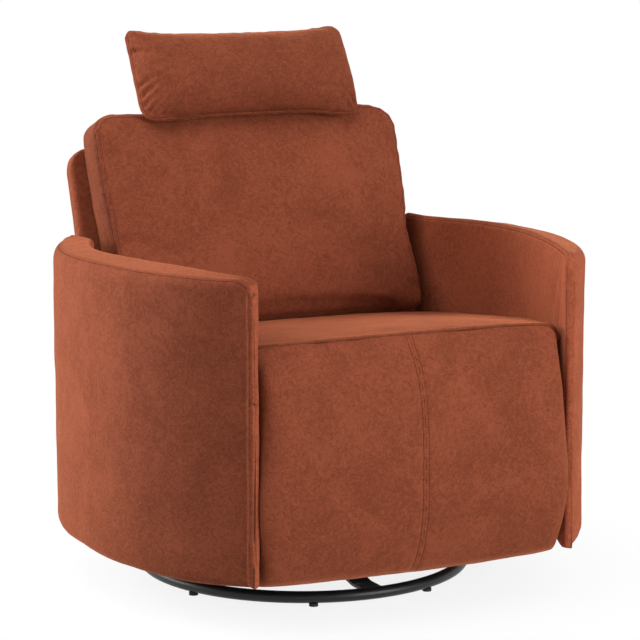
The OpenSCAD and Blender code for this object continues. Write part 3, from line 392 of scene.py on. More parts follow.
# %% [markdown]
# Every soft piece starts as a stack of rings, like the ribs of a boat, with a skin of four-sided
# faces between them. A sculpted block would have uneven faces, and seams pressed into those look
# ragged. The rings are closed, and a fan closes each end. One helper makes arms, cushions and panels,
# so only the rings differ.

# %% Helper: a skin through rings
def skin(name, rings, body, node):
    rings = np.array(rings, float)
    count, size = rings.shape[:2]
    points = np.concatenate([rings.reshape(-1, 3), rings[0].mean(0)[None], rings[-1].mean(0)[None]])
    faces = []
    for i in range(count - 1):
        for j in range(size):
            k = (j + 1) % size
            faces.append((i * size + j, i * size + k, (i + 1) * size + k, (i + 1) * size + j))
    first, last = count * size, count * size + 1
    for j in range(size):
        k = (j + 1) % size
        faces.append((first, k, j))
        faces.append((last, (count - 1) * size + j, (count - 1) * size + k))
    mesh = bpy.data.meshes.new(name)
    mesh.from_pydata(points.tolist(), [], faces)
    shape = bmesh.new()
    shape.from_mesh(mesh)
    bmesh.ops.recalc_face_normals(shape, faces=shape.faces)
    shape.to_mesh(mesh)
    shape.free()
    mesh.shade_smooth()
    mesh.materials.append(rust_velvet)
    piece = in_scene(name, mesh)
    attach(piece, body)
    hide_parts(node)
    print(name, len(mesh.vertices), "points")
    return piece


def points_of(piece, kind="co"):
    flat = np.zeros(len(piece.data.vertices) * 3)
    piece.data.vertices.foreach_get(kind, flat)
    return flat.reshape(-1, 3)


def normals_of(piece):
    return points_of(piece, "normal")


def set_points(piece, points):
    piece.data.vertices.foreach_set("co", np.asarray(points, float).ravel())
    piece.data.update()


def paint_light_and_shade(piece, share):
    """Paints light and shade into the velvet's colour at each point, by which way it faces: 1 is lighter,
    -1 darker.
    """
    marks = piece.data.attributes.new("brushing_and_painted_light", "FLOAT", "POINT")
    marks.data.foreach_set("value", [share(Vector(n)) for n in normals_of(piece)])


# %% [markdown]
# A seam pulls the fabric down into the padding and puckers it a little on both sides. A bump map
# could only shade that, so the helper finds the points of a piece that lie near a seam's path and
# pushes them in along their normals. The threads are thin bevelled curves that lie on the fabric.
# Slow waves of a millimetre or two keep the large faces from looking like plastic.

# %% Helpers: seams, waves and thread
def path_points(path, step):
    path = np.array(path, float)
    length = np.concatenate([[0], np.cumsum(np.linalg.norm(np.diff(path, axis=0), axis=1))])
    at = np.linspace(0, length[-1], max(2, int(length[-1] / step)))
    return np.stack([np.interp(at, length, path[:, k]) for k in range(3)], 1), at


RIPPLE_STEP, RIPPLE_DRIFT = 9 * MM, 0.05


def tree_of(points):
    tree = kdtree.KDTree(len(points))
    for i, p in enumerate(points):
        tree.insert(p, i)
    tree.balance()
    return tree


def sew(piece, path, depth, width, pucker=0.0, taper=0.0):
    along, at = path_points(path, 2 * MM)
    tree = tree_of(along)
    points, normals = points_of(piece), normals_of(piece)
    for i, p in enumerate(points):
        _, index, gap = tree.find(p)
        if gap > 8 * width:
            continue
        dip = depth * math.exp(-(gap / width) ** 2) * (1 - taper * at[index] / at[-1])
        beat = math.sin(at[index] / RIPPLE_STEP * 2.1 + 3 * math.sin(at[index] / RIPPLE_DRIFT))
        ripple = pucker * math.exp(-(gap / (3 * width)) ** 2) * beat
        points[i] = p - normals[i] * (dip + ripple)
    set_points(piece, points)


def wave(piece, amount, size, seed, keep=None):
    points, normals = points_of(piece), normals_of(piece)
    shift = Vector((seed * 3.7, seed * 1.3, seed * 2.9))
    for i, p in enumerate(points):
        rise = noise.fractal(Vector(p) / size + shift, 0.6, 2.0, 3)
        if keep is not None:
            rise *= keep(p)
        points[i] = p + normals[i] * amount * rise
    set_points(piece, points)


def lay_thread(name, runs, body, radius, material, capped):
    """One round thread of several runs of points."""
    curve = bpy.data.curves.new(name, "CURVE")
    curve.dimensions = "3D"
    curve.bevel_depth = radius
    curve.bevel_resolution = 1
    curve.use_fill_caps = capped
    for run in runs:
        line = curve.splines.new("POLY")
        line.points.add(len(run) - 1)
        line.points.foreach_set("co", np.concatenate([run, np.ones((len(run), 1))], 1).ravel())
    curve.materials.append(material)
    piece = in_scene(name, curve)
    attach(piece, body)
    print(name, "has", len(runs), "run" if len(runs) == 1 else "stitches")


def thread(name, path, body, radius=0.7 * MM, material=seam_thread, step=6 * MM):
    lay_thread(name, [path_points(path, step)[0]], body, radius, material, False)


def stitches(name, path, body, pitch=4.5 * MM, radius=0.55 * MM):
    points, _ = path_points(path, pitch / 3)
    runs = [points[i:i + 3] for i in range(0, len(points) - 2, 3)]
    lay_thread(name, runs, body, radius, stitch_thread, True)


def lay_on(piece, path, lift=0.3 * MM, step=5 * MM):
    """Moves each point of a path to the nearest place on a piece, a little above its surface."""
    laid = []
    for p in path_points(path, step)[0]:
        _, place, normal, _ = piece.closest_point_on_mesh(Vector(p))
        laid.append(place + normal * lift)
    return laid


# %% [markdown]
# A filled cover swells between its seams and stays tight along them. Sculpting could draw that, but
# Blender's Cloth finds it by itself, on a copy of even faces: the seams are pinned, pressure fills the
# fabric, and what moves too far is held back. A smoothing calms what is left of the faces' own grid.
# The result becomes the piece's own mesh.

# %% Helper: fill a cover
PRESSURE, GRIP, CLOTH_FRAMES, CALM_STEPS = 3.0, 5 * MM, 20, 6


def copy_of_result(piece):
    return bpy.data.meshes.new_from_object(piece.evaluated_get(bpy.context.evaluated_depsgraph_get()))


def fill_cover(piece, held, grow, cap, voxel, fixed=lambda p: False):
    trial = in_scene(f"{piece.name}_trial", piece.data.copy())
    remesh = trial.modifiers.new("remesh", "REMESH")
    remesh.mode, remesh.voxel_size = "VOXEL", voxel
    trial.data = copy_of_result(trial)
    trial.modifiers.clear()
    start = points_of(trial)
    seams = tree_of(np.concatenate([path_points(path, 2 * MM)[0] for path in held]))
    pins = trial.vertex_groups.new(name="pins")
    for i, p in enumerate(start):
        if seams.find(p)[2] < GRIP or fixed(p):
            pins.add([i], 1.0, "REPLACE")
    cloth = trial.modifiers.new("cloth", "CLOTH")
    cloth.settings.vertex_group_mass = "pins"
    cloth.settings.effector_weights.gravity = 0
    cloth.settings.use_pressure = True
    cloth.settings.uniform_pressure_force = PRESSURE
    cloth.settings.shrink_min = -grow
    for step in range(1, CLOTH_FRAMES + 1):
        bpy.context.scene.frame_set(step)
    settled = copy_of_result(trial)
    ended = np.zeros(len(settled.vertices) * 3)
    settled.vertices.foreach_get("co", ended)
    move = ended.reshape(-1, 3) - start
    size = np.linalg.norm(move, axis=1, keepdims=True)
    trial.modifiers.clear()
    set_points(trial, start + move * np.minimum(1, cap / np.maximum(size, 1e-9)))
    calm = trial.modifiers.new("calm", "SMOOTH")
    calm.factor, calm.iterations = 0.5, CALM_STEPS
    finer = trial.modifiers.new("finer", "SUBSURF")
    finer.levels = finer.render_levels = 1
    piece.data = copy_of_result(trial)
    piece.data.shade_smooth()
    bpy.data.objects.remove(trial)
    bpy.context.scene.frame_set(1)
    reach = round(float(size.max()) / MM)
    print(piece.name, "filled, moved up to", reach, "mm,", len(piece.data.vertices), "points")


# %% [markdown]
# The chair's plan is a barrel. Both faces of an arm follow curves of a single formula, and the CAD
# model uses the same one, so the arms, the seat between them and the timber inside all fit. Sizes are
# the chair's own, in millimetres from the swivel axis, and at_axis turns them into the frame's metres.

# %% The barrel
HEM_Z, SEAT_Z, ARM_Z = 94, 489, 607.5
BARREL_Y, ARM_FRONT_Y, ARM_REAR_Y = -30, -425, 244
BACK_GAP_X = 333.5


def barrel(half, reach, power, y):
    return half * (1 - (abs(y - BARREL_Y) / reach) ** power) ** (1 / power)


def outer_x(y):
    return barrel(450, 490, 2.4, y) if y < BARREL_Y else barrel(450, 460, 2.1, y)


def inner_x(y):
    return barrel(384, 738, 1.6, y) if y < BARREL_Y else max(BACK_GAP_X, barrel(384, 402, 2, y))


def at_axis(x, y, z):
    return (x * MM, y * MM + AXIS_Y, z * MM)


def ramp(value, start, end):
    return max(0.0, min(1.0, (value - start) / (end - start)))


def corner_fall(distance, half, radius):
    """How far a rounded corner has dropped at a distance from the middle."""
    s = ramp(distance - half + radius, 0, radius)
    return radius - radius * math.sqrt(1 - s * s)


print("arm thickness in mm: front", round(outer_x(ARM_FRONT_Y) - inner_x(ARM_FRONT_Y)),
      "middle", round(outer_x(0) - inner_x(0)))


# %% [markdown]
# An arm is a padded wall: a flat inner face, a rounded top band and a curved outer face. The band
# is one strip of cloth that runs along the crest and down the front edge, with a seam on each side
# of it. A box with bevels would lose the barrel's changing width, so the section is drawn once and
# fitted between the two barrel curves at each ring.

# %% Arms: section and rings
INNER_ROUND, OUTER_ROUND, TOP_FALL, HEM_ROUND, HEEL_ROUND = 11, {-1: 21, 1: 26}, 5, 6, 20
CREST_Y, CREST_DROP, NOSE_ROUND, TAIL, FULL_WIDTH = -250, 14, 23, 10, 66
OUTER_SAG, SAG_RUN, SAG_UP = 6.5, 90, 70


def arm_top(y):
    if y > CREST_Y:
        return ARM_Z - CREST_DROP * ((y - CREST_Y) / (ARM_REAR_Y - CREST_Y)) ** 1.3
    return ARM_Z - corner_fall(-y, -ARM_FRONT_Y + NOSE_ROUND / 3, NOSE_ROUND)


def arc(steps):
    return [math.pi / 2 * i / steps for i in range(steps + 1)]


def arm_section(width, height, outer_round):
    """Points (across, up) of the wall's section, from the inner foot over the crest to the outer foot."""
    ri, ro = min(INNER_ROUND, width * 0.4), min(outer_round, width * 0.5)
    low = TOP_FALL * width / FULL_WIDTH
    foot = [(HEM_ROUND * (1 - math.sin(a)), HEM_ROUND * (1 - math.cos(a))) for a in arc(3)]
    inner = [(0, HEM_ROUND + (height - ri - HEM_ROUND) * i / 88) for i in range(1, 88)]
    roll_in = [(ri * (1 - math.cos(a)), height - ri + ri * math.sin(a)) for a in arc(7)]
    top = [(ri + (width - ri - ro) * i / 10, height - low * i / 10) for i in range(1, 10)]
    roll_out = [(width - ro + ro * math.sin(a), height - low - ro + ro * math.cos(a)) for a in arc(8)]
    rh = min(HEEL_ROUND, width * 0.4)
    outer = [(width, height - low - ro - (height - low - ro - rh) * i / 88) for i in range(1, 88)]
    heel = [(width - rh * (1 - math.cos(a)), rh * (1 - math.sin(a))) for a in arc(6)]
    return foot + inner + roll_in + top + roll_out + outer + heel


def arm_ring(y, side, slim=1.0, drop=0.0):
    held = max(y, ARM_FRONT_Y)
    a, b = inner_x(held), outer_x(held)
    mid, height, width = (a + b) / 2, arm_top(y) - drop - HEM_Z, (b - a) * slim
    sag = OUTER_SAG * min(1, (held - ARM_FRONT_Y) / SAG_RUN)
    return [at_axis(side * (mid + slim * (a - mid) + across), y,
                    HEM_Z + up - sag * across / width * max(0, 1 - up / SAG_UP))
            for across, up in arm_section(width, height, OUTER_ROUND[side])]


def arm_rings(side):
    nose = [(ARM_FRONT_Y - 12 * math.cos(a), max(0.12, math.sin(a) ** 0.8), 8 * (1 - math.sin(a)))
            for a in [math.pi / 2 * i / 8 for i in range(8)]]
    rings = [arm_ring(y, side, slim, drop) for y, slim, drop in nose]
    rings += [arm_ring(y, side) for y in np.concatenate([np.arange(ARM_FRONT_Y, -380, 2.5),
                                                         np.arange(-380, ARM_REAR_Y - 3, 6)])]
    rings += [arm_ring(ARM_REAR_Y + TAIL - 9 * (1 - math.sin(a)), side, 0.7 + 0.3 * math.cos(a),
                       3 * (1 - math.cos(a))) for a in arc(7)]
    return rings


print("each arm has", len(arm_rings(1)), "rings of", len(arm_ring(0, 1)), "points")


# %% [markdown]
# The band's seams are paths in the same measures as the rings: along the crest, round the front corner
# and down. On the right arm the outer one is pulled so tight that it hardly shows. The right arm's
# cover has two shallow hollows behind its front edge, and the left band has a small join at seat height.

# %% Arms: seams
# how far below the crest, at which share of the thickness and how far forward each seam runs
SEAM_PLACE = {"inner": (5, 0.04, -430), "outer": (6.5, 0.90, -432)}
TURN_Y, OUTER_FRONT_SHARE, JOIN_Z = -402, {-1: 0.92, 1: 0.97}, 399
HOLLOWS = (((-352, 470), (-382, 588)), ((-318, 500), (-356, 580)))


def crest_seam(side, which):
    """The seam between the band and a face: along the crest, round the corner and down the front."""
    drop, share, front_y = SEAM_PLACE[which]

    def spot(y, z, share_here):
        held = max(y, ARM_FRONT_Y)
        return at_axis(side * (inner_x(held) + share_here * (outer_x(held) - inner_x(held))), y, z)

    path = [spot(y, arm_top(y) - drop, share) for y in np.arange(ARM_REAR_Y - 8, -396, -10)]
    radius = TURN_Y - front_y
    turn_z = arm_top(TURN_Y) - drop - radius
    front_share = share if which == "inner" else OUTER_FRONT_SHARE[side]
    path += [spot(TURN_Y - radius * math.sin(a), turn_z + radius * math.cos(a),
                  share + (front_share - share) * a / (math.pi / 2)) for a in arc(8)]
    path += [spot(front_y, z, front_share) for z in np.linspace(turn_z - 6, HEM_Z + 6, 34)]
    return path


def arm_painted_light(side):
    """Painted light and shade: the inner face and the band's front are lighter, the crest darker."""
    def share(n):
        inner, crest = ramp(-n.x * side, 0.4, 0.7), 0.25 * ramp(n.z, 0.5, 0.9)
        if side > 0:
            return max(inner, ramp(-n.y, 0.35, 0.6)) - crest
        # Painted shade on the left arm: the front of its outer face, which turns forward and to the left,
        # is darker.
        shaded_curve = 0.45 * ramp(-n.y, 0.1, 0.5) * ramp(-n.x, 0.3, 0.6)
        return max(inner, ramp(-n.y, 0.75, 0.95)) - crest - shaded_curve
    return share


# %% [markdown]
# Both arms are now made and sewn. They are not filled by the simulation, because their foam is glued to a
# frame: the cover can't swell, and only its seams, its hollows and its nap show. Painted light and shade
# go into its colour: lighter on the inner face and the front, darker on the crest.

# %% Arms: made and sewn
for side, label in ((-1, "left"), (1, "right")):
    arm = skin(f"arm_{label}_upholstery", arm_rings(side), "carriage", f"arm_cover_{label}")
    wave(arm, 1.6 * MM, 0.16, 5 + side)
    for which in ("inner", "outer"):
        seam = crest_seam(side, which)
        faint = side > 0 and which == "outer"
        sew(arm, seam, depth=(0.6 if faint else 1.0) * MM, width=1.8 * MM, pucker=0.2 * MM)
        thread(f"arm_{label}_{which}_seam", lay_on(arm, seam, -0.35 * MM), "carriage",
               (0.45 if faint else 0.7) * MM, rust_velvet if faint else seam_thread)
    if side > 0:
        for low, high in HOLLOWS:
            hollow = [at_axis(inner_x(y), y, z) for y, z in zip(np.linspace(low[0], high[0], 12),
                                                                 np.linspace(low[1], high[1], 12))]
            sew(arm, lay_on(arm, hollow, 0), depth=3.2 * MM, width=11 * MM)
    else:
        join = [at_axis(-(inner_x(ARM_FRONT_Y) + step), ARM_FRONT_Y - 13, JOIN_Z + step / 4)
                for step in (0.5, 5, 10, 18)]
        sew(arm, lay_on(arm, join, 0), depth=2.4 * MM, width=3 * MM)
        thread("arm_left_join", lay_on(arm, join, 0, 1 * MM), "carriage", 0.6 * MM, step=1 * MM)
    # Painted light and shade in the arm's colour, from which way each point faces.
    paint_light_and_shade(arm, arm_painted_light(side))

# %% [markdown]
# The seat is one foam block with a thin lip that reaches over the footrest panel and follows the
# panel's round corners. Its top falls towards the back and swells in the middle, and its sides sink
# and roll over where they meet the arms. A subdivided box would need every point moved by hand, so one
# function gives the height at any place, and the lip, the panel under it and the stitches agree.

# %% Seat cushion
LIP_Y, LIP_T, SEAT_FRONT_Y, SEAT_REAR_Y, FOAM_Z = -401, 4.6, -362, 113, 388
SEAT_FALL, SEAT_CROWN, SEAT_SIDE_ROUND, SIDE_SINK, LIP_CORNER, PANEL_HALF = 65, 7, 28, 17, 11, 284


def seat_top(y):
    run = max(0, y - SEAT_FRONT_Y) / (SEAT_REAR_Y - SEAT_FRONT_Y)
    return SEAT_Z + 1 - SEAT_FALL * run ** 1.1


def seat_surface(x, y, half):
    """Height of the seat's top: it swells in the middle, and its sides sink and roll over."""
    s = min(1, abs(x) / half)
    dome = SEAT_CROWN * min(1, (y - LIP_Y) / 150 + 0.14)
    at_lip = 0.3 if x > 0 else -0.12
    sink = SIDE_SINK * min(1, (y - LIP_Y) / 60 + at_lip) * min(1, max(0.5, (100 - y) / 100))
    round_off = SEAT_SIDE_ROUND if x > 0 else SEAT_SIDE_ROUND * min(1, (y - LIP_Y) / 60 + 0.4)
    return seat_top(y) + dome * (1 - s * s) - sink * s ** 4 - corner_fall(abs(x), half, round_off)


def seat_ring(y, in_lip=False, full=1.0):
    half = inner_x(y) - 2 - corner_fall(-y, -LIP_Y, LIP_CORNER)
    upper, lower = [], []
    for i in range(81):
        x = half * math.sin(math.pi / 2 * (-1 + i / 40))
        top = seat_surface(x, y, half)
        floor_z = top - LIP_T if in_lip else FOAM_Z
        upper.append(at_axis(x, y, floor_z + (top - floor_z) * full))
        if i % 3 == 0 or i == 80:
            lower.append(at_axis(x, y, floor_z))
    return upper + lower[::-1]


# the lip's edge as (distance from the front, share of its thickness) pairs
LIP_EDGE = ((0, 0.25), (0.5, 0.5), (1.5, 0.75), (3, 0.92), (5, 1), (8, 1), (12, 1), (17, 1), (24, 1),
            (38, 1))
seat_rings = [seat_ring(LIP_Y + step, True, full) for step, full in LIP_EDGE]
seat_rings += [seat_ring(y) for y in np.linspace(SEAT_FRONT_Y + 2, SEAT_REAR_Y - 12, 84)]
seat_rings += [seat_ring(SEAT_REAR_Y - 12 * (1 - math.sin(a)), False, 1 - 0.18 * (1 - math.cos(a)))
               for a in arc(5)[1:]]
seat = skin("seat_upholstery", seat_rings, "carriage", "seat_cushion")
wave(seat, 1.8 * MM, 0.11, 11, keep=lambda p: 1.0 if p[2] > 0.43 and p[1] > AXIS_Y - 0.39 else 0.0)
# Painted shade: the whole seat's colour is darker by a fixed amount, to take away light that falls on its
# top.
paint_light_and_shade(seat, lambda n: -0.3)
lip_line = [at_axis(x, LIP_Y - 0.3, seat_surface(x, LIP_Y, PANEL_HALF) - LIP_T + 1.4)
            for x in np.linspace(-PANEL_HALF + 2, PANEL_HALF - 2, 110)]
stitches("seat_edge_stitches", lay_on(seat, lip_line, 0.1 * MM), "carriage", 5 * MM, 0.45 * MM)

# %% [markdown]
# The closed footrest is the chair's tall front panel. Foam fills it most a little above half
# height, and in front of the arms it swells sideways. Its hem hangs lowest in the middle. A seam with
# a row of stitches on each side runs down its middle and draws it in. The rings stand side by side
# across the panel, closest at the seam and at the ends, where the form turns most.

# %% Footrest panel
PAD_REAR_Y, BULGE_Z, BULGE_T, HEM_SAG, SIDE_SWELL, STITCH_X = -397, 250, 73, 8, 14, 5.5
HEM_TURN, ARM_NOSE, SWELL_Z, SWELL_REACH = 0.965, 22, 215, 125
PAD_TOP = seat_surface(0, LIP_Y, PANEL_HALF) - LIP_T - 0.3


def bump_at(x, middle, width):
    """A smooth hill of height 1."""
    return math.exp(-((x - middle) / width) ** 2)


def pad_depth(z):
    if z > BULGE_Z:
        return BULGE_T * (1 - 0.95 * ((z - BULGE_Z) / (PAD_TOP - BULGE_Z)) ** 3.4)
    return BULGE_T * (1 - 0.52 * ((BULGE_Z - z) / (BULGE_Z - HEM_Z)) ** 2.8)


def pad_outline(x):
    """Top and hem heights of the panel at a place across it."""
    top = seat_surface(x, LIP_Y, PANEL_HALF) - LIP_T - 0.3
    return top, HEM_Z - 4 - HEM_SAG * (1 - (x / PANEL_HALF) ** 2)


def pad_ring(x):
    s = abs(x) / PANEL_HALF
    full = math.sqrt(max(0.0, 1 - 0.97 * s ** 20)) * (1 - 0.05 * s ** 3)
    top, hem = pad_outline(x)
    rear = PAD_REAR_Y - 0.3
    ring = [at_axis(x, rear, hem + 4 + (top - hem - 4) * i / 30) for i in range(31)]
    for i in range(91):
        a = i / 90
        z = hem + (top - hem) * (1 - a)
        end = 1 - 0.35 * max(0, (a - HEM_TURN) / (1 - HEM_TURN)) ** 2
        depth = 1 + (pad_depth(z) - 1) * full * end
        before_arm = ramp(depth, ARM_NOSE, 2 * ARM_NOSE) * s ** 6
        wide = SIDE_SWELL * bump_at(z, SWELL_Z, SWELL_REACH) * before_arm
        ring.append(at_axis(x + math.copysign(wide, x), rear - depth, z))
    return ring


half_x = np.concatenate([np.arange(3, 30, 3), np.arange(30, 250, 7), np.arange(250, PANEL_HALF + 0.1, 2)])
pad_x = sorted([0.0, *half_x, *-half_x])
panel = skin("footrest_upholstery", [pad_ring(x) for x in pad_x], "footrest", "footrest_pad")
wave(panel, 2.0 * MM, 0.15, 23, keep=lambda p: 1.0 if p[1] < AXIS_Y + (PAD_REAR_Y - 2) * MM else 0.0)


def panel_line(x, start=2):
    heights = np.linspace(PAD_TOP - start, HEM_Z - 8, 80)
    return [at_axis(x, PAD_REAR_Y - 0.3 - pad_depth(z), z) for z in heights]


sew(panel, panel_line(0, 18), depth=1.2 * MM, width=9 * MM, pucker=0.4 * MM)
thread("footrest_seam", lay_on(panel, panel_line(0), -0.25 * MM), "footrest", 0.4 * MM)
for x, label in ((-STITCH_X, "left"), (STITCH_X, "right")):
    sew(panel, panel_line(x, 12), depth=1.3 * MM, width=2.4 * MM, pucker=0.3 * MM)
    stitches(f"footrest_stitches_{label}", lay_on(panel, panel_line(x), 0.15 * MM), "footrest")

# %% [markdown]
# The back leans, so its pieces are drawn in a frame of their own: across, rearwards through the
# back's thickness and up along it. Its cushion, the shell behind it and the panel below are all boxed:
# a front, a rear and a strip round the edge. One ring function makes all three.

# %% The back's own frame
RECLINE, BACK_Y = math.radians(19.5), 127


def on_back(x, t, w):
    return at_axis(x, BACK_Y + t * math.cos(RECLINE) + w * math.sin(RECLINE),
                   SEAT_Z - t * math.sin(RECLINE) + w * math.cos(RECLINE))


def box_ring(place, x, half, t0, t1, w0, w1, radii, crowns, end_round):
    """A boxed section with rounded edges. radii and crowns are for the front and the rear."""
    s = abs(x) / half
    pull = corner_fall(abs(x), half, end_round)
    bulge = 1 - s ** 2.5
    t0, t1, w0, w1 = t0 + pull, t1 - pull, w0 + pull * 0.6, w1 - pull * 0.6
    rf, rr = (min(r, (t1 - t0) * 0.49, (w1 - w0) * 0.49) for r in radii)
    front = [(t0, w0 + rf + (w1 - w0 - 2 * rf) * i / 60) for i in range(61)]
    top_front = [(t0 + rf * (1 - math.cos(a)), w1 - rf + rf * math.sin(a)) for a in arc(7)[1:]]
    top = [(t0 + rf + (t1 - t0 - rf - rr) * i / 8, w1) for i in range(1, 8)]
    top_rear = [(t1 - rr + rr * math.sin(a), w1 - rr + rr * math.cos(a)) for a in arc(7)]
    rear = [(t1, w1 - rr - (w1 - w0 - 2 * rr) * i / 40) for i in range(1, 40)]
    low_rear = [(t1 - rr + rr * math.cos(a), w0 + rr - rr * math.sin(a)) for a in arc(7)]
    low = [(t1 - rr - (t1 - t0 - rf - rr) * i / 8, w0) for i in range(1, 8)]
    low_front = [(t0 + rf - rf * math.sin(a), w0 + rf - rf * math.cos(a)) for a in arc(7)[:-1]]
    ring = []
    for t, w in front + top_front + top + top_rear + rear + low_rear + low + low_front:
        share = (t - t0) / max(0.1, t1 - t0)
        swell = bulge * (1 - abs(2 * (w - w0) / (w1 - w0) - 1) ** 2.4)
        ring.append(place(x, t - crowns[0] * swell * (1 - share) ** 2 + crowns[1] * swell * share ** 2, w))
    return ring


def end_stations(half, end_round, count):
    """Stations along a cushion that crowd where its ends turn over."""
    turned = [half - end_round * (1 - math.sin(a)) for a in arc(9)]
    plain = list(np.linspace(0, half - end_round, count))[:-1]
    return [-v for v in reversed(plain + turned)] + (plain + turned)[1:]


print("the back leans", round(math.degrees(RECLINE), 1), "degrees")


# %% [markdown]
# The back cushion is the softest large piece: a swollen front, rounded upper corners and a boxing
# strip with a seam along the front edge. Its cover is filled by the simulation, which holds the edge
# seam and what lies against the outside back. The rings give it the pattern that it is filled from.

# %% Back cushion
CUSHION_HALF, CUSHION_T, CUSHION_LOW, CUSHION_TOP, SEAM_T = 300, 79, -62, 339, 8
CORNER_LEFT, CORNER_RIGHT = 35, 48


def cushion_half(w, right):
    """Half width at a height: full at the shoulders, a slight waist, and full again at the seat."""
    fuller_right = 4.5 * bump_at(w, 180, 70) + 6 * bump_at(w, -10, 60)
    return CUSHION_HALF + 5.5 * bump_at(w, 285, 90) - 3.5 * bump_at(w, 90, 80) + right * fuller_right


def corner_radius(x):
    return CORNER_LEFT if x < 0 else CORNER_RIGHT


def cushion_crest(x):
    return CUSHION_TOP + 3 * (1 - (x / CUSHION_HALF) ** 2) - 2 * x / CUSHION_HALF


def on_cushion(x, t, w):
    thick = 1 + 0.12 * ramp(120 - w, 0, 180)
    return on_back(x * cushion_half(w, x > 0) / CUSHION_HALF, CUSHION_T - (CUSHION_T - t) * thick, w)


def cushion_ring(x):
    fall = corner_fall(abs(x), CUSHION_HALF, corner_radius(x))
    return box_ring(on_cushion, x, CUSHION_HALF, 0, CUSHION_T, CUSHION_LOW + fall / 4,
                    cushion_crest(x) - fall, (11, 6), (20, 0), 6)


def cushion_edge(inset, depth):
    """A line round the front of the cushion, inset from its outline and at a depth from its front."""
    half = CUSHION_HALF - inset

    def place(x):
        return cushion_crest(x) - inset - corner_fall(abs(x), half, corner_radius(x) - inset)

    turn = [half - CORNER_RIGHT * (1 - math.sin(a)) for a in arc(14)]
    path = [(-half, w) for w in np.linspace(CUSHION_LOW + 14, place(-half) - 3, 44)]
    path += [(-x, place(-x)) for x in reversed(turn)]
    path += [(x, place(x)) for x in np.linspace(-half + 50, half - 50, 56)]
    path += [(x, place(x)) for x in turn]
    path += [(half, w) for w in np.linspace(place(half) - 3, CUSHION_LOW + 14, 44)]
    return [on_cushion(x, depth, w) for x, w in path]


# %% [markdown]
# The filling comes first, because the new mesh would lose what was sewn before. Then the edge seam is
# pulled in, its thread is laid and a row of stitches is set inside it. The side, which faces left, gets
# painted shade, so it is darker than the front.

# %% Back cushion: filled and sewn
back = skin("back_upholstery", [cushion_ring(x) for x in end_stations(CUSHION_HALF, 6, 56)],
            "back", "back_cushion")
edge_line = lay_on(back, cushion_edge(0.5, SEAM_T), 0)
rear_plane = Vector(on_back(0, CUSHION_T - 22, 0))
back_axis = (Vector(on_back(0, 1, 0)) - Vector(on_back(0, 0, 0))).normalized()
fill_cover(back, [edge_line], grow=0.005, cap=9 * MM, voxel=6 * MM,
           fixed=lambda p: (Vector(p) - rear_plane).dot(back_axis) > 0)
wave(back, 1.8 * MM, 0.13, 31)
edge_line = lay_on(back, cushion_edge(0.5, SEAM_T), 0)
sew(back, edge_line, depth=2.0 * MM, width=3.2 * MM, pucker=0.6 * MM)
thread("back_seam", lay_on(back, edge_line, -0.2 * MM), "back", 0.7 * MM)
stitches("back_stitches", lay_on(back, cushion_edge(8, 0)), "back", radius=0.45 * MM)
# Painted shade: points that face left are darker.
paint_light_and_shade(back, lambda n: -0.8 * ramp(-n.x, 0.4, 0.8))

# %% [markdown]
# The outside back is a thin padded shell behind the cushion, a little wider and lower, with round
# upper corners. It needs no filling, so its boxed section is used as it is, with slow waves on it.

# %% Outside back
OUTBACK_HALF, OUTBACK_DEEP, OUTBACK_LOW, OUTBACK_TOP, OUTBACK_CORNER = 330, 113, -130, 298, 38


def outback_ring(x):
    fall = corner_fall(abs(x), OUTBACK_HALF, OUTBACK_CORNER)
    return box_ring(on_back, x, OUTBACK_HALF, CUSHION_T + 0.5, OUTBACK_DEEP, OUTBACK_LOW,
                    OUTBACK_TOP - fall, (6, 12), (0, 16), 10)


outside = skin("outside_back_upholstery", [outback_ring(x) for x in end_stations(OUTBACK_HALF, 10, 40)],
               "back", "outside_back")
wave(outside, 1.4 * MM, 0.16, 37)

# %% [markdown]
# The headrest is a loose pillow: a front and a rear panel on a narrow band that rolls over the edge.
# Its corners stand out as small ears, because the fill never reaches them. A plain box would lose
# them in the filling, so the rings already have the ears, the dip between them and the round end.

# %% Headrest pillow
PILLOW_HALF, PILLOW_H, PILLOW_LEAN = 218, 83, math.radians(10)
PILLOW_MID, BAND, ROLL, FRONT_SWELL, REAR_SWELL, RIGHT_SHARE = (-12, 403.5), 6.5, 5, 46, 34, 0.98
TOP_CORNERS, LOW_CORNERS = (9, 17), (19, 13)


def on_pillow(x, d, h):
    lean_sin, lean_cos = math.sin(PILLOW_LEAN), math.cos(PILLOW_LEAN)
    return on_back(x if x < 0 else x * RIGHT_SHARE, PILLOW_MID[0] + d * lean_cos + h * lean_sin,
                   PILLOW_MID[1] + h * lean_cos - d * lean_sin)


def pillow_heights(x):
    """Top and bottom seam heights: the edges dip between the ears."""
    dip = 5 * (1 - (x / PILLOW_HALF) ** 2)
    top = PILLOW_H - dip + 7 * bump_at(x, -206, 34) + 2 * bump_at(x, 200, 40)
    low = -PILLOW_H + dip * 0.4 - 7 * bump_at(x, 196, 60) - 2 * bump_at(x, -190, 50)
    end = 0 if x < 0 else 1
    return (top - corner_fall(abs(x), PILLOW_HALF, TOP_CORNERS[end]),
            low + corner_fall(abs(x), PILLOW_HALF, LOW_CORNERS[end]))


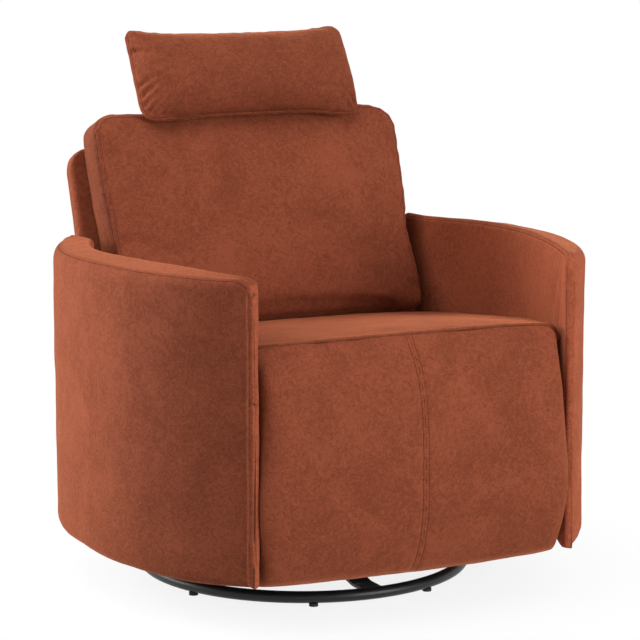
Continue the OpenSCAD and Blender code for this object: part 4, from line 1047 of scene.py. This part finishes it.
def pillow_ring(x, flat=1.0):
    s = min(1, abs(x) / PILLOW_HALF)
    full = (1 - s ** 5) ** 0.55
    top, low = pillow_heights(x)
    mid, half, band, roll = (top + low) / 2, (top - low) / 2, BAND * flat, ROLL * flat
    turn = np.linspace(0, math.pi, 11)[1:-1]
    ring = []
    for i in range(73):
        k = -math.cos(math.pi * i / 72)
        ring.append((-band - FRONT_SWELL * full * (1 - abs(k) ** 2.8) ** 0.72, mid + k * half))
    ring += [(-band * math.cos(a), top + roll * math.sin(a)) for a in turn]
    for i in range(41):
        k = math.cos(math.pi * i / 40)
        ring.append((band + REAR_SWELL * full * (1 - abs(k) ** 2.8) ** 0.72, mid + k * half))
    ring += [(band * math.cos(a), low - roll * math.sin(a)) for a in turn]
    return [on_pillow(x + math.copysign(ROLL * (1 - flat), x), d, h) for d, h in ring]


def across_pillow(count):
    """Places across the pillow that crowd at its ends."""
    return [PILLOW_HALF * math.sin(math.pi / 2 * (-1 + i / count)) for i in range(2 * count + 1)]


def pillow_seam(depth):
    """The line where a panel meets the band."""
    xs = across_pillow(60)
    upper = [(x, pillow_heights(x)[0]) for x in xs]
    lower = [(x, pillow_heights(x)[1]) for x in reversed(xs)]
    right = [(PILLOW_HALF, h) for h in np.linspace(upper[-1][1], lower[0][1], 20)[1:-1]]
    left = [(-PILLOW_HALF, h) for h in np.linspace(lower[-1][1], upper[0][1], 20)[1:]]
    return [on_pillow(x, depth, h) for x, h in upper + right + lower + left]


pillow_rings = [pillow_ring(-PILLOW_HALF, math.sin(a)) for a in arc(5)[1:-1]]
pillow_rings += [pillow_ring(x) for x in across_pillow(70)]
pillow_rings += [pillow_ring(PILLOW_HALF, math.sin(a)) for a in reversed(arc(5)[1:-1])]
pillow = skin("headrest_upholstery", pillow_rings, "headrest", "headrest_pillow")
front_seam, rear_seam = pillow_seam(-BAND), pillow_seam(BAND)
fill_cover(pillow, [front_seam, rear_seam], grow=0.0, cap=7 * MM, voxel=4.5 * MM)
wave(pillow, 1.4 * MM, 0.07, 41)

# %% [markdown]
# The cover gathers in short creases that run in from the seam, most of them at the lower left, some at
# the lower right and one at the upper left. The simulation would put them anywhere, so they are pressed
# in one by one: each is deep at the seam and fades inwards. Their ends are given across and up.

# %% Headrest pillow: creases and seams
CREASES = [((-216, -22), (-186, -12)), ((-216, -42), (-176, -20)), ((-215, -60), (-164, -26)),
           ((-212, -74), (-168, -38)), ((-200, -80), (-166, -52)), ((-184, -84), (-164, -60)),
           ((-168, -85), (-156, -68)), ((210, -76), (180, -52)), ((196, -84), (176, -64)),
           ((-216, 46), (-192, 32))]
for i, (low, high) in enumerate(CREASES):
    crease = [on_pillow(low[0], -14, low[1]), on_pillow(high[0], -38, high[1])]
    sew(pillow, lay_on(pillow, crease, 0, 2 * MM), depth=(5.4 + 1.6 * (i % 2)) * MM,
        width=(4.6 + 1.0 * (i % 3)) * MM, taper=0.8)
sew(pillow, front_seam, depth=1.2 * MM, width=2.6 * MM, pucker=0.3 * MM)
sew(pillow, rear_seam, depth=1.2 * MM, width=2.6 * MM, pucker=0.2 * MM)
thread("headrest_seam", lay_on(pillow, front_seam, -0.25 * MM), "headrest", 0.55 * MM)
# Painted shade: the whole pillow is a little darker, and its underside, which faces down, much darker.
paint_light_and_shade(pillow, lambda n: -0.2 - 0.9 * ramp(-n.z, 0.45, 0.8))

# %% [markdown]
# The fixed panel below the moving back closes the barrel at the rear. It bows out a little, so that
# the barrel reads as one round form from behind.

# %% Rear panel
PANEL_TOP, PANEL_Y, PANEL_T, PANEL_BOW, REAR_HALF = 330, 212.3, 26, 12, BACK_GAP_X - 1.6


def rear_ring(x):
    deep = PANEL_T + PANEL_BOW * (1 - (x / REAR_HALF) ** 2)
    return box_ring(lambda px, t, w: at_axis(px, PANEL_Y + t, w), x, REAR_HALF, 0, deep, HEM_Z, PANEL_TOP,
                    (4, 8), (0, 0), 7)


rear = skin("rear_panel_upholstery", [rear_ring(x) for x in end_stations(REAR_HALF, 7, 40)],
            "carriage", "rear_panel")
wave(rear, 1.2 * MM, 0.15, 43)
